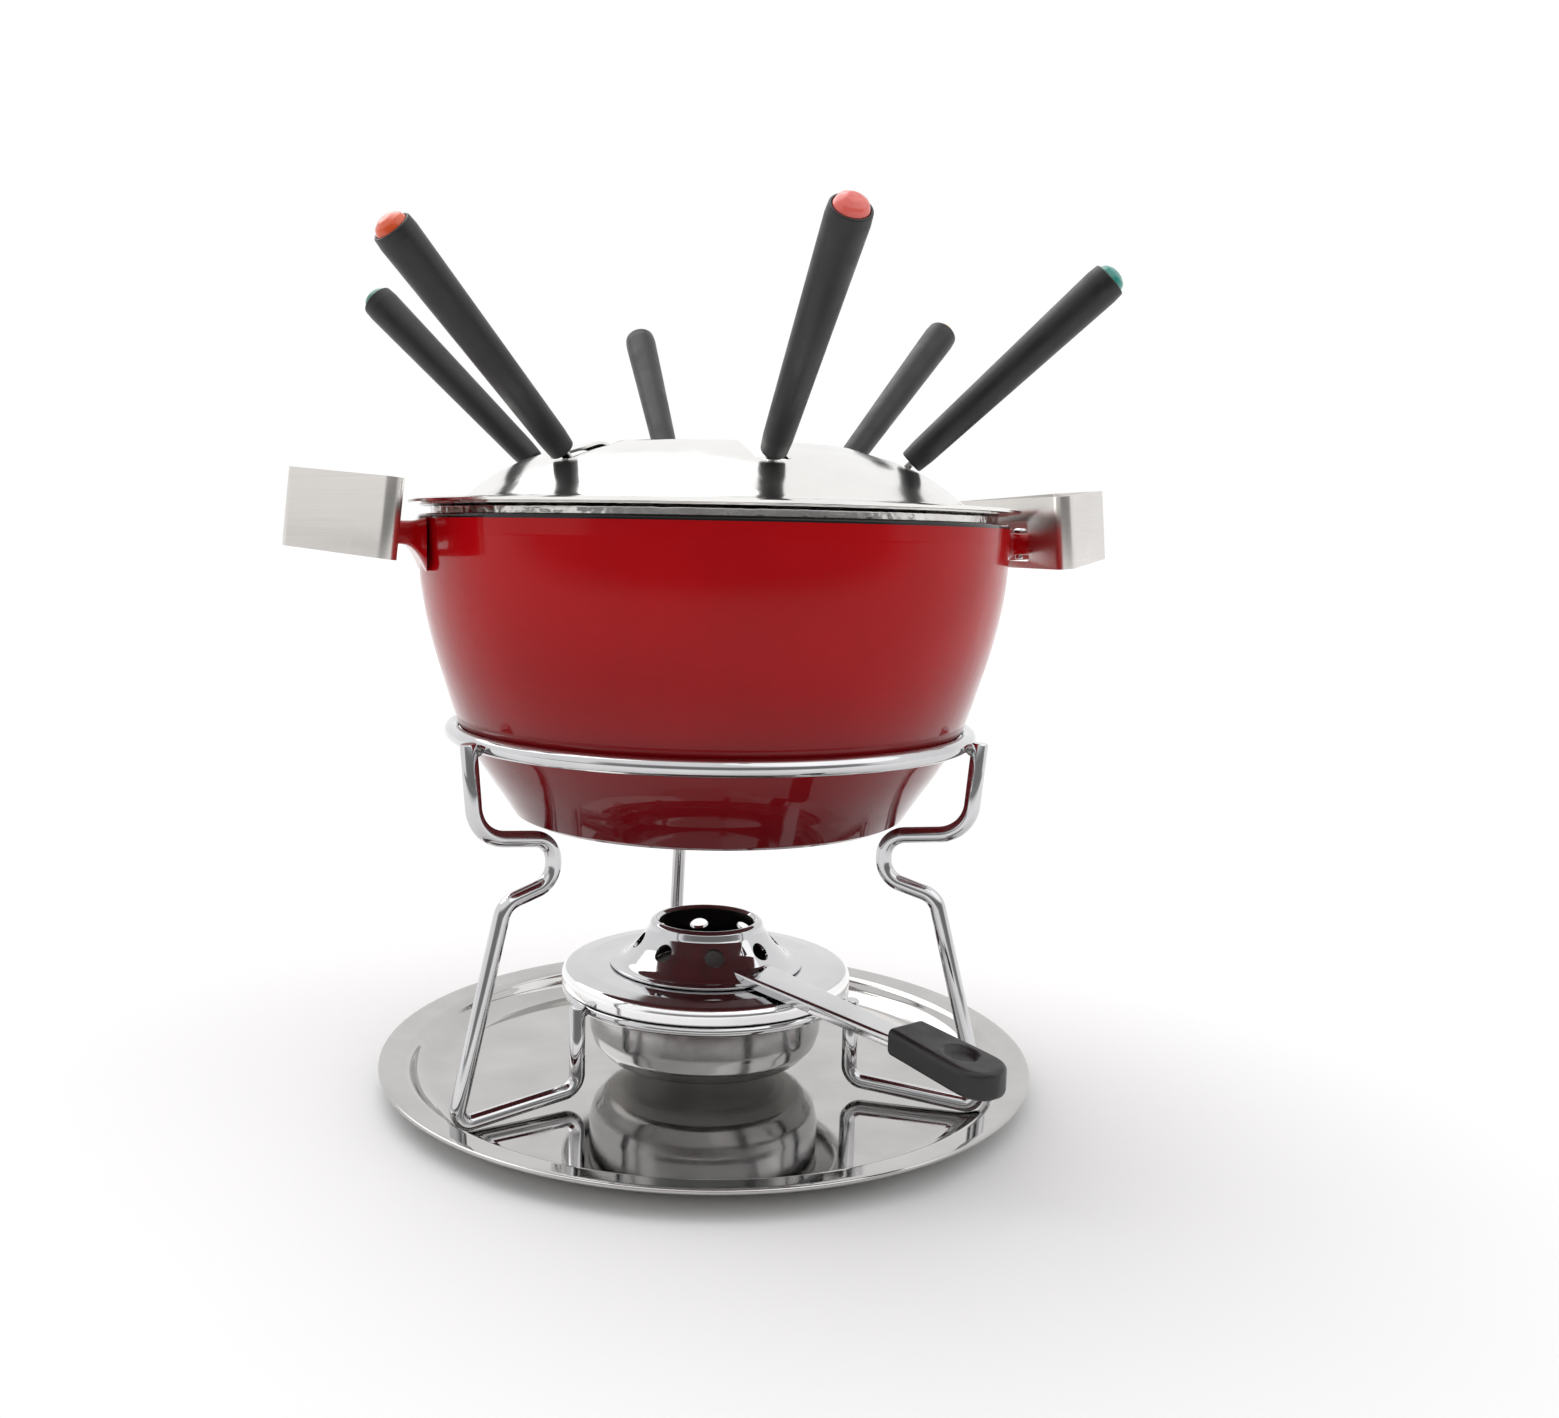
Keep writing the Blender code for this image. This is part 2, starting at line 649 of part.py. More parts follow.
def build_guard(group, cutters, steel):
    brim = GUARD_BRIM_HEIGHT
    crest = GUARD_CREST_HEIGHT
    face = [
        (GUARD_RADIUS, brim - 0.7), (GUARD_RADIUS - 0.8, brim),
        (96.0, brim + 0.5), (92.4, brim + 1.8), (86.0, brim + 7.0), (78.4, brim + 11.8),
        (69.4, brim + 15.8), (60.0, brim + 18.8), (51.0, crest), (46.4, crest - 1.0),
        (GUARD_MOUTH, crest - 4.0),
    ]
    dome = lathe("splash_guard", sheet(face, -GUARD_SHEET), group, steel, steps=48)
    slots = []
    for i in range(FORK_COUNT):
        name = "notch_%d" % i
        half = NOTCH_WIDTH / 2.0
        cut = box(name, (36.0, -half, crest - 24.0), (NOTCH_END, half, crest + 6.0), cutters)
        mark_cutter(cut)
        edge = soften(cut, 2.2, 3)
        edge.limit_method = "ANGLE"
        turn = FORK_FIRST_ANGLE + 60.0 * i
        cut.matrix_world = Matrix.Rotation(math.radians(turn), 4, "Z")
        slots.append(cut)
    combine(dome, slots, "DIFFERENCE", 30.0)

    low = POT_LEDGE_HEIGHT + GAP
    high = brim - 1.2
    edge = COLLAR_RADIUS
    wall = [
        (edge, low), (edge, high - 1.4), (edge + 0.8, high - 0.9), (edge + 4.0, high - 0.9),
        (edge + 4.0, high), (edge, high), (edge - 0.9, high - 1.0), (edge - 0.9, low),
    ]
    lathe("guard_collar", wall, group, steel, steps=48)


def build_forks(group, cutters, steel, plastic):
    for i in range(FORK_COUNT):
        colour_name, colour = FORK_CAP_COLOURS[i]
        cap_colour = make_material("cap_" + colour_name, colour, 0.0, 0.18, 0.4)
        turn = FORK_FIRST_ANGLE + 60.0 * i
        place = (
            Matrix.Translation(polar(FORK_RADIUS, turn, FORK_HEIGHT) * MM)
            @ Matrix.Rotation(math.radians(turn), 4, "Z")
            @ Matrix.Rotation(math.radians(FORK_LEAN), 4, "Y")
        )
        number = i + 1
        start = FORK_HANDLE_START
        end = FORK_HANDLE_END
        handle = lathe("fork_%d_handle" % number, [
            (0.0, end - 1.0), (5.7, end - 1.0), (5.7, end), (6.5, end - 0.8), (6.8, end - 3.4),
            (5.3, start + 5.0), (4.8, start + 1.6), (3.6, start), (1.95, start),
            (1.95, start + 14.0), (0.0, start + 14.0),
        ], group, plastic, steps=12)
        cap = lathe("fork_%d_cap" % number, [
            (0.0, FORK_CAP_END), (3.0, FORK_CAP_END - 0.6), (5.0, FORK_CAP_END - 2.0),
            (5.4, end - 0.7), (0.0, end - 0.7),
        ], group, cap_colour, steps=12)
        steel_part = build_fork_steel("fork_%d_steel" % number, group, cutters, steel)
        for piece in (handle, cap, steel_part):
            piece.matrix_world = place


def build_fork_steel(name, group, cutters, steel):
    """Stem with two barbed tines, along Z with the tips at the low end."""
    neck = FORK_TIP + 27.0
    half = 4.2
    inner = 2.5
    tip = FORK_TIP
    shape = [
        (-1.5, neck + 4.0), (-2.2, neck), (-half, neck - 6.0), (-half, tip + 3.0),
        (-half + 0.6, tip), (-inner, tip + 4.0), (-inner + 0.9, tip + 5.4), (-inner, tip + 6.0),
        (-inner, neck - 7.0), (-1.2, neck - 8.4), (1.2, neck - 8.4), (inner, neck - 7.0),
        (inner, tip + 6.0), (inner - 0.9, tip + 5.4), (inner, tip + 4.0), (half - 0.6, tip),
        (half, tip + 3.0), (half, neck - 6.0), (2.2, neck), (1.5, neck + 4.0),
    ]
    head = slab(name + "_head", [shape], -0.8, 0.8, cutters)
    head.data.transform(Matrix.Rotation(math.radians(90.0), 4, "X"))
    head.data.transform(Matrix.Rotation(math.radians(90.0), 4, "Z"))
    stem = cylinder(name, FORK_STEM_RADIUS, neck - 1.0, FORK_HANDLE_START + 13.4, group, steel, 10)
    return combine(stem, [head], "UNION")


# ---------------------------------------------------------------- build

def main():
    clear_scene()
    group = make_collection("fondue_set")
    cutters = make_collection("cutters")
    polished = make_material("polished_steel", (0.80, 0.79, 0.78), 1.0, 0.08)
    chrome = make_material("chrome_wire", (0.82, 0.82, 0.83), 1.0, 0.06)
    brushed = make_material("brushed_steel", (0.70, 0.68, 0.66), 1.0, 0.28)
    enamel = make_material("red_enamel", (0.42, 0.006, 0.010), 0.0, 0.12, 0.6)
    wadding = make_material("fuel_wadding", (0.60, 0.58, 0.52), 0.0, 0.9)
    gauze = make_material("gauze_steel", (0.30, 0.30, 0.30), 1.0, 0.45)
    plastic = make_material("black_plastic", (0.012, 0.012, 0.013), 0.0, 0.42)
    fork_steel = make_material("fork_steel", (0.76, 0.75, 0.74), 1.0, 0.15)

    build_tray(group, polished)
    build_stand(group, chrome)
    build_burner(group, cutters, polished, wadding, gauze, plastic)
    build_pot(group, cutters, enamel)
    build_handles(group, cutters, brushed, chrome)
    build_guard(group, cutters, polished)
    build_forks(group, cutters, fork_steel, plastic)


main()
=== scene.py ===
"""Looks of the fondue set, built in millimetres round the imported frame.

Every shown piece stands for one or more CAD nodes and rides on their body. Turned pieces are
revolved from rounded profiles, wires are swept curves, and handles and levers are lofts.
"""
import math

import bmesh
import bpy
from mathutils import Matrix, Vector


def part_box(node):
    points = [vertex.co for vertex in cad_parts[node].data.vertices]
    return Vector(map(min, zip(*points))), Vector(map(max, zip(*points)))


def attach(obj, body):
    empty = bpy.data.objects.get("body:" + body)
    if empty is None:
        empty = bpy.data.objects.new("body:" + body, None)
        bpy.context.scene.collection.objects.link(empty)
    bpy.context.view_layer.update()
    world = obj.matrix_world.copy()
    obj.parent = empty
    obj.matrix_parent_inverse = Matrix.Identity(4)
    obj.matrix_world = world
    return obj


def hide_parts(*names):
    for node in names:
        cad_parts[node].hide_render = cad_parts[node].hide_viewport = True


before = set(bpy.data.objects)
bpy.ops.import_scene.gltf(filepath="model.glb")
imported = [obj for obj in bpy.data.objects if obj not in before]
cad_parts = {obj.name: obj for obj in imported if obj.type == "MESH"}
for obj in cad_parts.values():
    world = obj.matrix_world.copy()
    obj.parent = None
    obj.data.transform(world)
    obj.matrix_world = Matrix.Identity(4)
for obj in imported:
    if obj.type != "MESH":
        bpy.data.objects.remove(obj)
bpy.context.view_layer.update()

MM = 0.001


# ---------------------------------------------------------------- sizes read from the frame

def reach(node):
    """(largest x, lowest z, highest z) of a CAD node in millimetres."""
    low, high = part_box(node)
    return high.x / MM, low.z / MM, high.z / MM


TRAY_R, TRAY_LOW, TRAY_TOP = reach("tray")
RING_EDGE, RING_LOW, RING_TOP = reach("pot_ring")
WIRE = (RING_TOP - RING_LOW) / 2.0
RING_R = RING_EDGE - WIRE
RING_Z = RING_TOP - WIRE
SMALL_EDGE, SMALL_LOW, SMALL_TOP = reach("burner_ring")
SMALL_Z = (SMALL_LOW + SMALL_TOP) / 2.0
SMALL_WIRE = 2.0
SMALL_R = SMALL_EDGE - SMALL_WIRE
COVER_R, COVER_LOW, COVER_TOP = reach("burner_cover")
FLANGE_R, CUP_LOW, FLANGE_TOP = reach("burner_cup")
CUP_R = 45.6
FLARE_R, FLARE_LOW, FLARE_TOP = reach("regulator")
POT_R, POT_LOW, POT_TOP = reach("pot")
GUARD_LOW, GUARD_TOP = reach("splash_guard")[1:]
BRIM = GUARD_LOW + 0.7
LUG_END, LUG_LOW, LUG_TOP = reach("pot_lug_right")

TRAY_FLOOR = TRAY_LOW + 1.0
TRAY_FLAT = 104.0
POST_R = 60.0
LEG_FOOT_R = 111.0
LEG_ANGLES = (83.0, 203.0, 323.0)
LEG_TOP = 139.8
POST_TOP = 38.1
LEVER_ANGLE = 292.0
LEVER_FALL = 0.026
GRIP_START = 110.5
GRIP_LENGTH = 41.5
GRIP_FALL = 0.09
AIR_HOLES = 8
AIR_HOLE_R = 3.7
AIR_HOLE_TILT = 40.0
FORKS = 6
FORK_FIRST = -30.0
FORK_LEAN = 46.7
FORK_R = 72.2
FORK_Z = 238.1
CAPS = ("teal", "yellow", "blue", "green", "orange", "coral")

FRONT = -105.0


# ---------------------------------------------------------------- materials

def shader_tree(name):
    material = bpy.data.materials.new(name)
    material.use_nodes = True
    tree = material.node_tree
    return material, tree, tree.nodes["Principled BSDF"]


def noise(tree, scale, detail=3.0, stretch=(1.0, 1.0, 1.0), distortion=0.0, roughness=0.5):
    place = tree.nodes.new("ShaderNodeTexCoord")
    mapping = tree.nodes.new("ShaderNodeMapping")
    mapping.inputs["Scale"].default_value = stretch
    texture = tree.nodes.new("ShaderNodeTexNoise")
    texture.inputs["Scale"].default_value = scale
    texture.inputs["Detail"].default_value = detail
    texture.inputs["Roughness"].default_value = roughness
    texture.inputs["Distortion"].default_value = distortion
    tree.links.new(place.outputs["Object"], mapping.inputs["Vector"])
    tree.links.new(mapping.outputs["Vector"], texture.inputs["Vector"])
    return texture.outputs["Fac"]


def spread(tree, value, low, high, start=0.3, end=0.7):
    """Map a noise value onto a range."""
    node = tree.nodes.new("ShaderNodeMapRange")
    node.inputs["From Min"].default_value = start
    node.inputs["From Max"].default_value = end
    node.inputs["To Min"].default_value = low
    node.inputs["To Max"].default_value = high
    tree.links.new(value, node.inputs["Value"])
    return node.outputs["Result"]


def blend_colours(tree, value, first, second):
    node = tree.nodes.new("ShaderNodeMix")
    node.data_type = "RGBA"
    node.inputs["A"].default_value = (*first, 1.0)
    node.inputs["B"].default_value = (*second, 1.0)
    tree.links.new(value, node.inputs["Factor"])
    return node.outputs["Result"]


def bumps(tree, shader, layers):
    """Chain of bump layers: (height value, strength, depth in millimetres)."""
    last = None
    for height, strength, depth in layers:
        node = tree.nodes.new("ShaderNodeBump")
        node.inputs["Strength"].default_value = strength
        node.inputs["Distance"].default_value = depth * MM
        tree.links.new(height, node.inputs["Height"])
        if last is not None:
            tree.links.new(last, node.inputs["Normal"])
        last = node.outputs["Normal"]
    tree.links.new(last, shader.inputs["Normal"])


def polished(name, light, dark, gloss, haze, ripple=0.05, ripple_size=26.0):
    """Mirror steel: faint waviness, wiping haze and hairline scratches."""
    material, tree, shader = shader_tree(name)
    shader.inputs["Metallic"].default_value = 1.0
    patch = spread(tree, noise(tree, 34.0, 4.0), 0.0, 1.0)
    tree.links.new(blend_colours(tree, patch, light, dark), shader.inputs["Base Color"])
    wipe = noise(tree, 70.0, 5.0, (1.0, 1.0, 1.0), 0.6)
    tree.links.new(spread(tree, wipe, gloss, haze, 0.42, 0.75), shader.inputs["Roughness"])
    wave = noise(tree, ripple_size, 1.0)
    hair = noise(tree, 700.0, 2.0, (1.0, 0.06, 1.0))
    bumps(tree, shader, [(wave, ripple, 1.0), (hair, 0.03, 0.02)])
    return material


def brushed(name, light, dark):
    """Steel band with its grain running round it, level with the table."""
    material, tree, shader = shader_tree(name)
    shader.inputs["Metallic"].default_value = 1.0
    grain = noise(tree, 4200.0, 3.0, (0.006, 0.006, 1.0))
    cloud = noise(tree, 40.0, 3.0)
    tree.links.new(
        blend_colours(tree, spread(tree, grain, 0.0, 1.0), light, dark), shader.inputs["Base Color"]
    )
    tree.links.new(spread(tree, cloud, 0.24, 0.36), shader.inputs["Roughness"])
    bumps(tree, shader, [(grain, 0.06, 0.02), (cloud, 0.05, 0.6)])
    return material


def height_fade(tree, low, high):
    """0 below one height of the object and 1 above the other, in metres."""
    place = tree.nodes.new("ShaderNodeTexCoord")
    parts = tree.nodes.new("ShaderNodeSeparateXYZ")
    tree.links.new(place.outputs["Object"], parts.inputs["Vector"])
    fade = tree.nodes.new("ShaderNodeMapRange")
    fade.interpolation_type = "SMOOTHSTEP"
    fade.inputs["From Min"].default_value = low
    fade.inputs["From Max"].default_value = high
    tree.links.new(parts.outputs["Z"], fade.inputs["Value"])
    return fade.outputs["Result"]


def enamel(name, light, dark, base=None):
    """Thick enamel over cast iron: lumpy under a glassy coat and glossier at the foot; given a foot
    colour, the colour darkens towards the foot as painted shade for the weaker light from below.
    """
    material, tree, shader = shader_tree(name)
    depth = spread(tree, noise(tree, 22.0, 3.0), 0.0, 1.0)
    colour = blend_colours(tree, depth, light, dark)
    # Painted shade: below 0.195 m the enamel colour blends into the darker foot colour, standing in for
    # the weaker light on the lower pot.
    if base is not None:
        fade = height_fade(tree, 0.100, 0.195)
        shade = tree.nodes.new("ShaderNodeMix")
        shade.data_type = "RGBA"
        shade.inputs["A"].default_value = (*base, 1.0)
        tree.links.new(fade, shade.inputs["Factor"])
        tree.links.new(colour, shade.inputs["B"])
        colour = shade.outputs["Result"]
        gloss = spread(tree, fade, 0.9, 0.45, 0.35, 0.75)
        tree.links.new(gloss, shader.inputs["Coat Weight"])
    tree.links.new(colour, shader.inputs["Base Color"])
    shader.inputs["IOR"].default_value = 1.3
    shader.inputs["Specular IOR Level"].default_value = 0.15
    shader.inputs["Coat Weight"].default_value = 0.9
    shader.inputs["Coat IOR"].default_value = 1.36
    shader.inputs["Coat Roughness"].default_value = 0.03
    skin = noise(tree, 120.0, 3.0)
    tree.links.new(spread(tree, skin, 0.12, 0.24), shader.inputs["Roughness"])
    sag = noise(tree, 30.0, 2.0, (1.0, 1.0, 0.7), 0.4)
    lump = noise(tree, 110.0, 2.0)
    bumps(tree, shader, [(sag, 0.24, 2.0), (lump, 0.09, 0.6)])
    return material


def plastic(name, light, dark, low, high, grain=900.0, strength=0.22, coat=0.0):
    material, tree, shader = shader_tree(name)
    cloud = spread(tree, noise(tree, 60.0, 4.0), 0.0, 1.0)
    tree.links.new(blend_colours(tree, cloud, light, dark), shader.inputs["Base Color"])
    tree.links.new(spread(tree, noise(tree, 150.0, 4.0), low, high), shader.inputs["Roughness"])
    shader.inputs["Coat Weight"].default_value = coat
    shader.inputs["Coat Roughness"].default_value = 0.06
    bumps(tree, shader, [(noise(tree, grain, 3.0), strength, 0.12)])
    return material


def gauze_material(name):
    """Woven wire: two crossed sets of waves."""
    material, tree, shader = shader_tree(name)
    shader.inputs["Metallic"].default_value = 1.0
    place = tree.nodes.new("ShaderNodeTexCoord")
    heights = []
    for direction in ("X", "Y"):
        wave = tree.nodes.new("ShaderNodeTexWave")
        wave.bands_direction = direction
        wave.inputs["Scale"].default_value = 260.0
        tree.links.new(place.outputs["Object"], wave.inputs["Vector"])
        heights.append(wave.outputs["Fac"])
    both = tree.nodes.new("ShaderNodeMath")
    both.operation = "MAXIMUM"
    tree.links.new(heights[0], both.inputs[0])
    tree.links.new(heights[1], both.inputs[1])
    weave = both.outputs["Value"]
    tree.links.new(
        blend_colours(tree, weave, (0.03, 0.03, 0.03), (0.46, 0.44, 0.42)), shader.inputs["Base Color"]
    )
    tree.links.new(spread(tree, noise(tree, 90.0), 0.35, 0.55), shader.inputs["Roughness"])
    bumps(tree, shader, [(weave, 0.8, 0.3)])
    return material


def wadding_material(name):
    material, tree, shader = shader_tree(name)
    fibres = noise(tree, 420.0, 8.0, (1.0, 1.0, 0.3), 1.5, 0.75)
    tree.links.new(
        blend_colours(tree, spread(tree, fibres, 0.0, 1.0), (0.72, 0.69, 0.60), (0.42, 0.39, 0.33)),
        shader.inputs["Base Color"],
    )
    tree.links.new(spread(tree, fibres, 0.8, 1.0), shader.inputs["Roughness"])
    bumps(tree, shader, [(fibres, 0.9, 0.8)])
    return material


TRAY_STEEL = polished("tray_steel", (0.54, 0.53, 0.52), (0.46, 0.45, 0.44), 0.045, 0.14, 0.05, 14.0)
COVER_STEEL = polished("cover_steel", (0.64, 0.64, 0.65), (0.56, 0.56, 0.57), 0.05, 0.12, 0.04)
# The skirt is the cover's steel with a brighter colour: painted light, so the rim band reads as brightly
# lit.
PAINTED_BRIGHT_SKIRT_STEEL = polished("skirt_steel_painted_bright", (0.97, 0.97, 0.97), (0.90, 0.90, 0.90), 0.06, 0.14, 0.04)
CUP_STEEL = polished("cup_steel", (0.50, 0.50, 0.50), (0.40, 0.40, 0.40), 0.14, 0.24, 0.05)
# The cup's bottom is a satin, part-metal finish for its stamped base. Its colour is also set lighter than
# the cup's steel as painted light on the shaded underside.
CUP_BASE = polished("cup_base", (0.86, 0.85, 0.84), (0.72, 0.71, 0.70), 0.35, 0.5, 0.05)
CUP_BASE.node_tree.nodes["Principled BSDF"].inputs["Metallic"].default_value = 0.3
SOOT = polished("sooty_steel", (0.10, 0.095, 0.09), (0.03, 0.028, 0.027), 0.35, 0.6, 0.1)
GUARD_STEEL = polished("guard_steel", (0.89, 0.88, 0.86), (0.82, 0.81, 0.79), 0.13, 0.22, 0.04)
COLLAR_STEEL = polished("collar_steel", (0.82, 0.80, 0.78), (0.56, 0.54, 0.52), 0.10, 0.34, 0.5, 260.0)
CHROME = polished("chrome", (0.66, 0.66, 0.67), (0.56, 0.56, 0.57), 0.04, 0.12, 0.10, 60.0)
WELD = polished("weld_metal", (0.30, 0.29, 0.28), (0.12, 0.115, 0.11), 0.18, 0.4, 0.4, 400.0)
BAND_STEEL = brushed("band_steel", (0.72, 0.695, 0.665), (0.66, 0.635, 0.61))
FORK_STEEL = polished("fork_steel", (0.70, 0.69, 0.68), (0.62, 0.61, 0.60), 0.10, 0.2, 0.03)
# The third colour darkens the red enamel towards the pot's foot: painted shade.
RED = enamel("red_enamel", (0.44, 0.002, 0.005), (0.37, 0.002, 0.004), (0.110, 0.003, 0.006))
POT_BASE = plastic("ground_base", (0.11, 0.004, 0.007), (0.07, 0.004, 0.006), 0.42, 0.6, 260.0, 0.3)
BLACK_ENAMEL = enamel("black_enamel", (0.012, 0.011, 0.011), (0.006, 0.006, 0.006))
BLACK = plastic("black_plastic", (0.013, 0.013, 0.014), (0.007, 0.007, 0.008), 0.34, 0.5, 1600.0, 0.14)
GAUZE = gauze_material("gauze")
WADDING = wadding_material("wadding")
CAP_COLOURS = {
    "teal": ((0.01, 0.30, 0.24), (0.01, 0.22, 0.18)),
    "yellow": ((0.80, 0.52, 0.03), (0.68, 0.42, 0.02)),
    "blue": ((0.02, 0.12, 0.50), (0.01, 0.08, 0.38)),
    "green": ((0.02, 0.26, 0.16), (0.01, 0.19, 0.12)),
    "orange": ((0.80, 0.10, 0.015), (0.68, 0.07, 0.01)),
    "coral": ((0.84, 0.14, 0.11), (0.74, 0.10, 0.08)),
}


# ---------------------------------------------------------------- mesh helpers

def polar(radius, degrees, height=0.0):
    angle = math.radians(degrees)
    return Vector((radius * math.cos(angle), radius * math.sin(angle), height))


def circle(radius, count, x=0.0, y=0.0):
    """Points of a circle round (x, y)."""
    angles = [math.tau * k / count for k in range(count)]
    return [(x + radius * math.cos(a), y + radius * math.sin(a)) for a in angles]


def add_piece(piece, body, slot_name, *nodes):
    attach(piece, body)
    if nodes:
        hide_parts(*nodes)
    return piece


def corner_arc(before, here, after, radius, step=9.0):
    """Points of the arc that rounds one corner."""
    back = before - here
    ahead = after - here
    half = back.angle(ahead) / 2.0
    if half > math.radians(89.5):
        return [here]
    cut = min(radius / math.tan(half), 0.49 * back.length, 0.49 * ahead.length)
    radius = cut * math.tan(half)
    back.normalize()
    ahead.normalize()
    centre = here + (back + ahead).normalized() * (radius / math.sin(half))
    start = here + back * cut - centre
    end = here + ahead * cut - centre
    sweep = start.angle(end)
    count = max(2, math.ceil(math.degrees(sweep) / step))
    points = []
    for k in range(count + 1):
        t = k / count
        a = math.sin((1.0 - t) * sweep) / math.sin(sweep)
        b = math.sin(t * sweep) / math.sin(sweep)
        points.append(centre + start * a + end * b)
    return points


def rounded(points, closed, step=9.0, longest=6.0):
    """Rounds (x, y, corner radius) points, then splits long straights near their ends."""
    flat = [Vector((p[0], p[1], 0.0)) for p in points]
    count = len(points)
    line = []
    for i in range(count):
        radius = points[i][2] if len(points[i]) > 2 else 0.0
        if radius <= 0.0 or (not closed and i in (0, count - 1)):
            line.append(flat[i])
        else:
            line += corner_arc(flat[i - 1], flat[i], flat[(i + 1) % count], radius, step)
    dense = []
    last = len(line) if closed else len(line) - 1
    for i in range(last):
        a = line[i]
        b = line[(i + 1) % len(line)]
        dense.append(a)
        span = (b - a).length
        if span > 1.6:
            parts = max(1, round(span / longest))
            stops = [0.3 / span] + [k / parts for k in range(1, parts)] + [1.0 - 0.3 / span]
            dense += [a.lerp(b, t) for t in stops]
    if not closed:
        dense.append(line[-1])
    return [(p.x, p.y) for p in dense]


def flowing(points, steps=16):
    """Smooth curve through (x, y) points, with this many steps between neighbours."""
    knots = [Vector(p) for p in points]
    knots = [knots[0]] + knots + [knots[-1]]
    line = []
    for p0, p1, p2, p3 in zip(knots, knots[1:], knots[2:], knots[3:]):
        for k in range(steps):
            t = k / steps
            bend = (2.0 * p0 - 5.0 * p1 + 4.0 * p2 - p3) * t + (3.0 * p1 - p0 - 3.0 * p2 + p3) * t ** 2
            line.append(tuple(p1 + 0.5 * t * (p2 - p0 + bend)))
    line.append(tuple(points[-1]))
    return line


def table_value(rows, at):
    """Value between the rows of a rising (position, value) table."""
    if at <= rows[0][0]:
        return rows[0][1]
    for (p0, v0), (p1, v1) in zip(rows, rows[1:]):
        if at <= p1:
            return v0 + (v1 - v0) * (at - p0) / (p1 - p0)
    return rows[-1][1]


def axis_first(loop):
    """Starts a closed loop of points at its first point on the axis and ends it on the last."""
    on_axis = [i for i, (r, _) in enumerate(loop) if r < 1e-6]
    start = on_axis[-1]
    turned = loop[start:] + loop[:start]
    return [p for i, p in enumerate(turned) if p[0] > 1e-6 or i in (0, len(turned) - 1)]


def mesh_object(name, verts, faces, materials, indices=None, angle=40.0):
    mesh = bpy.data.meshes.new(name)
    mesh.from_pydata([tuple(v) for v in verts], [], faces)
    for material in materials:
        mesh.materials.append(material)
    if indices is not None:
        mesh.polygons.foreach_set("material_index", indices)
    work = bmesh.new()
    work.from_mesh(mesh)
    bmesh.ops.remove_doubles(work, verts=work.verts, dist=0.0000005)
    bmesh.ops.recalc_face_normals(work, faces=work.faces)
    work.to_mesh(mesh)
    work.free()
    for face in mesh.polygons:
        face.use_smooth = True
    mesh.set_sharp_from_angle(angle=math.radians(angle))
    piece = bpy.data.objects.new(name, mesh)
    bpy.context.scene.collection.objects.link(piece)
    return piece


def revolve(name, profile, materials, steps=128, pick=None, angle=40.0):
    """Turns a closed or axis-to-axis profile of (radius, height) millimetres round Z."""
    touches = min(r for r, _ in profile) < 1e-6
    verts = []
    rows = []
    for radius, height in profile:
        if radius < 1e-6:
            rows.append([len(verts)] * steps)
            verts.append(Vector((0.0, 0.0, height * MM)))
        else:
            rows.append(list(range(len(verts), len(verts) + steps)))
            for j in range(steps):
                verts.append(polar(radius * MM, 360.0 * j / steps, height * MM))
    faces = []
    indices = []
    spans = len(rows) - 1 if touches else len(rows)
    for i in range(spans):
        one, two = rows[i], rows[(i + 1) % len(rows)]
        middle = [(a + b) / 2.0 for a, b in zip(profile[i], profile[(i + 1) % len(rows)])]
        index = pick(*middle) if pick else 0
        for j in range(steps):
            k = (j + 1) % steps
            face = []
            for corner in (one[j], one[k], two[k], two[j]):
                if corner not in face:
                    face.append(corner)
            if len(face) > 2:
                faces.append(face)
                indices.append(index)
    return mesh_object(name, verts, faces, materials, indices, angle)


def sweep(name, path, radius, material, soft=0.5):
    """Round wire along points in millimetres, its cut ends broken over the last soft millimetres."""
    curve = bpy.data.curves.new(name, "CURVE")
    curve.dimensions = "3D"
    curve.bevel_depth = radius * MM
    curve.bevel_resolution = 7
    curve.use_fill_caps = True
    first = path[0] + (path[1] - path[0]).normalized() * soft
    last = path[-1] + (path[-2] - path[-1]).normalized() * soft
    points = [path[0], first] + path[1:-1] + [last, path[-1]]
    small = 1.0 - 0.8 * soft / radius
    sizes = [small] + [1.0] * len(path) + [small]
    spline = curve.splines.new("POLY")
    spline.points.add(len(points) - 1)
    for point, place, size in zip(spline.points, points, sizes):
        point.co = (place.x * MM, place.y * MM, place.z * MM, 1.0)
        point.radius = size
    spline.use_smooth = True
    curve.materials.append(material)
    piece = bpy.data.objects.new(name, curve)
    bpy.context.scene.collection.objects.link(piece)
    return to_mesh(piece, 45.0)


def to_mesh(piece, angle=40.0):
    """Swaps a piece's data for its evaluated mesh."""
    graph = bpy.context.evaluated_depsgraph_get()
    graph.update()
    data = bpy.data.meshes.new_from_object(piece.evaluated_get(graph), depsgraph=graph)
    name = piece.name
    place = piece.matrix_world.copy()
    bpy.data.objects.remove(piece, do_unlink=True)
    work = bmesh.new()
    work.from_mesh(data)
    bmesh.ops.remove_doubles(work, verts=work.verts, dist=0.000001)
    bmesh.ops.recalc_face_normals(work, faces=work.faces)
    work.to_mesh(data)
    work.free()
    for face in data.polygons:
        face.use_smooth = True
    data.set_sharp_from_angle(angle=math.radians(angle))
    fresh = bpy.data.objects.new(name, data)
    fresh.matrix_world = place
    bpy.context.scene.collection.objects.link(fresh)
    return fresh


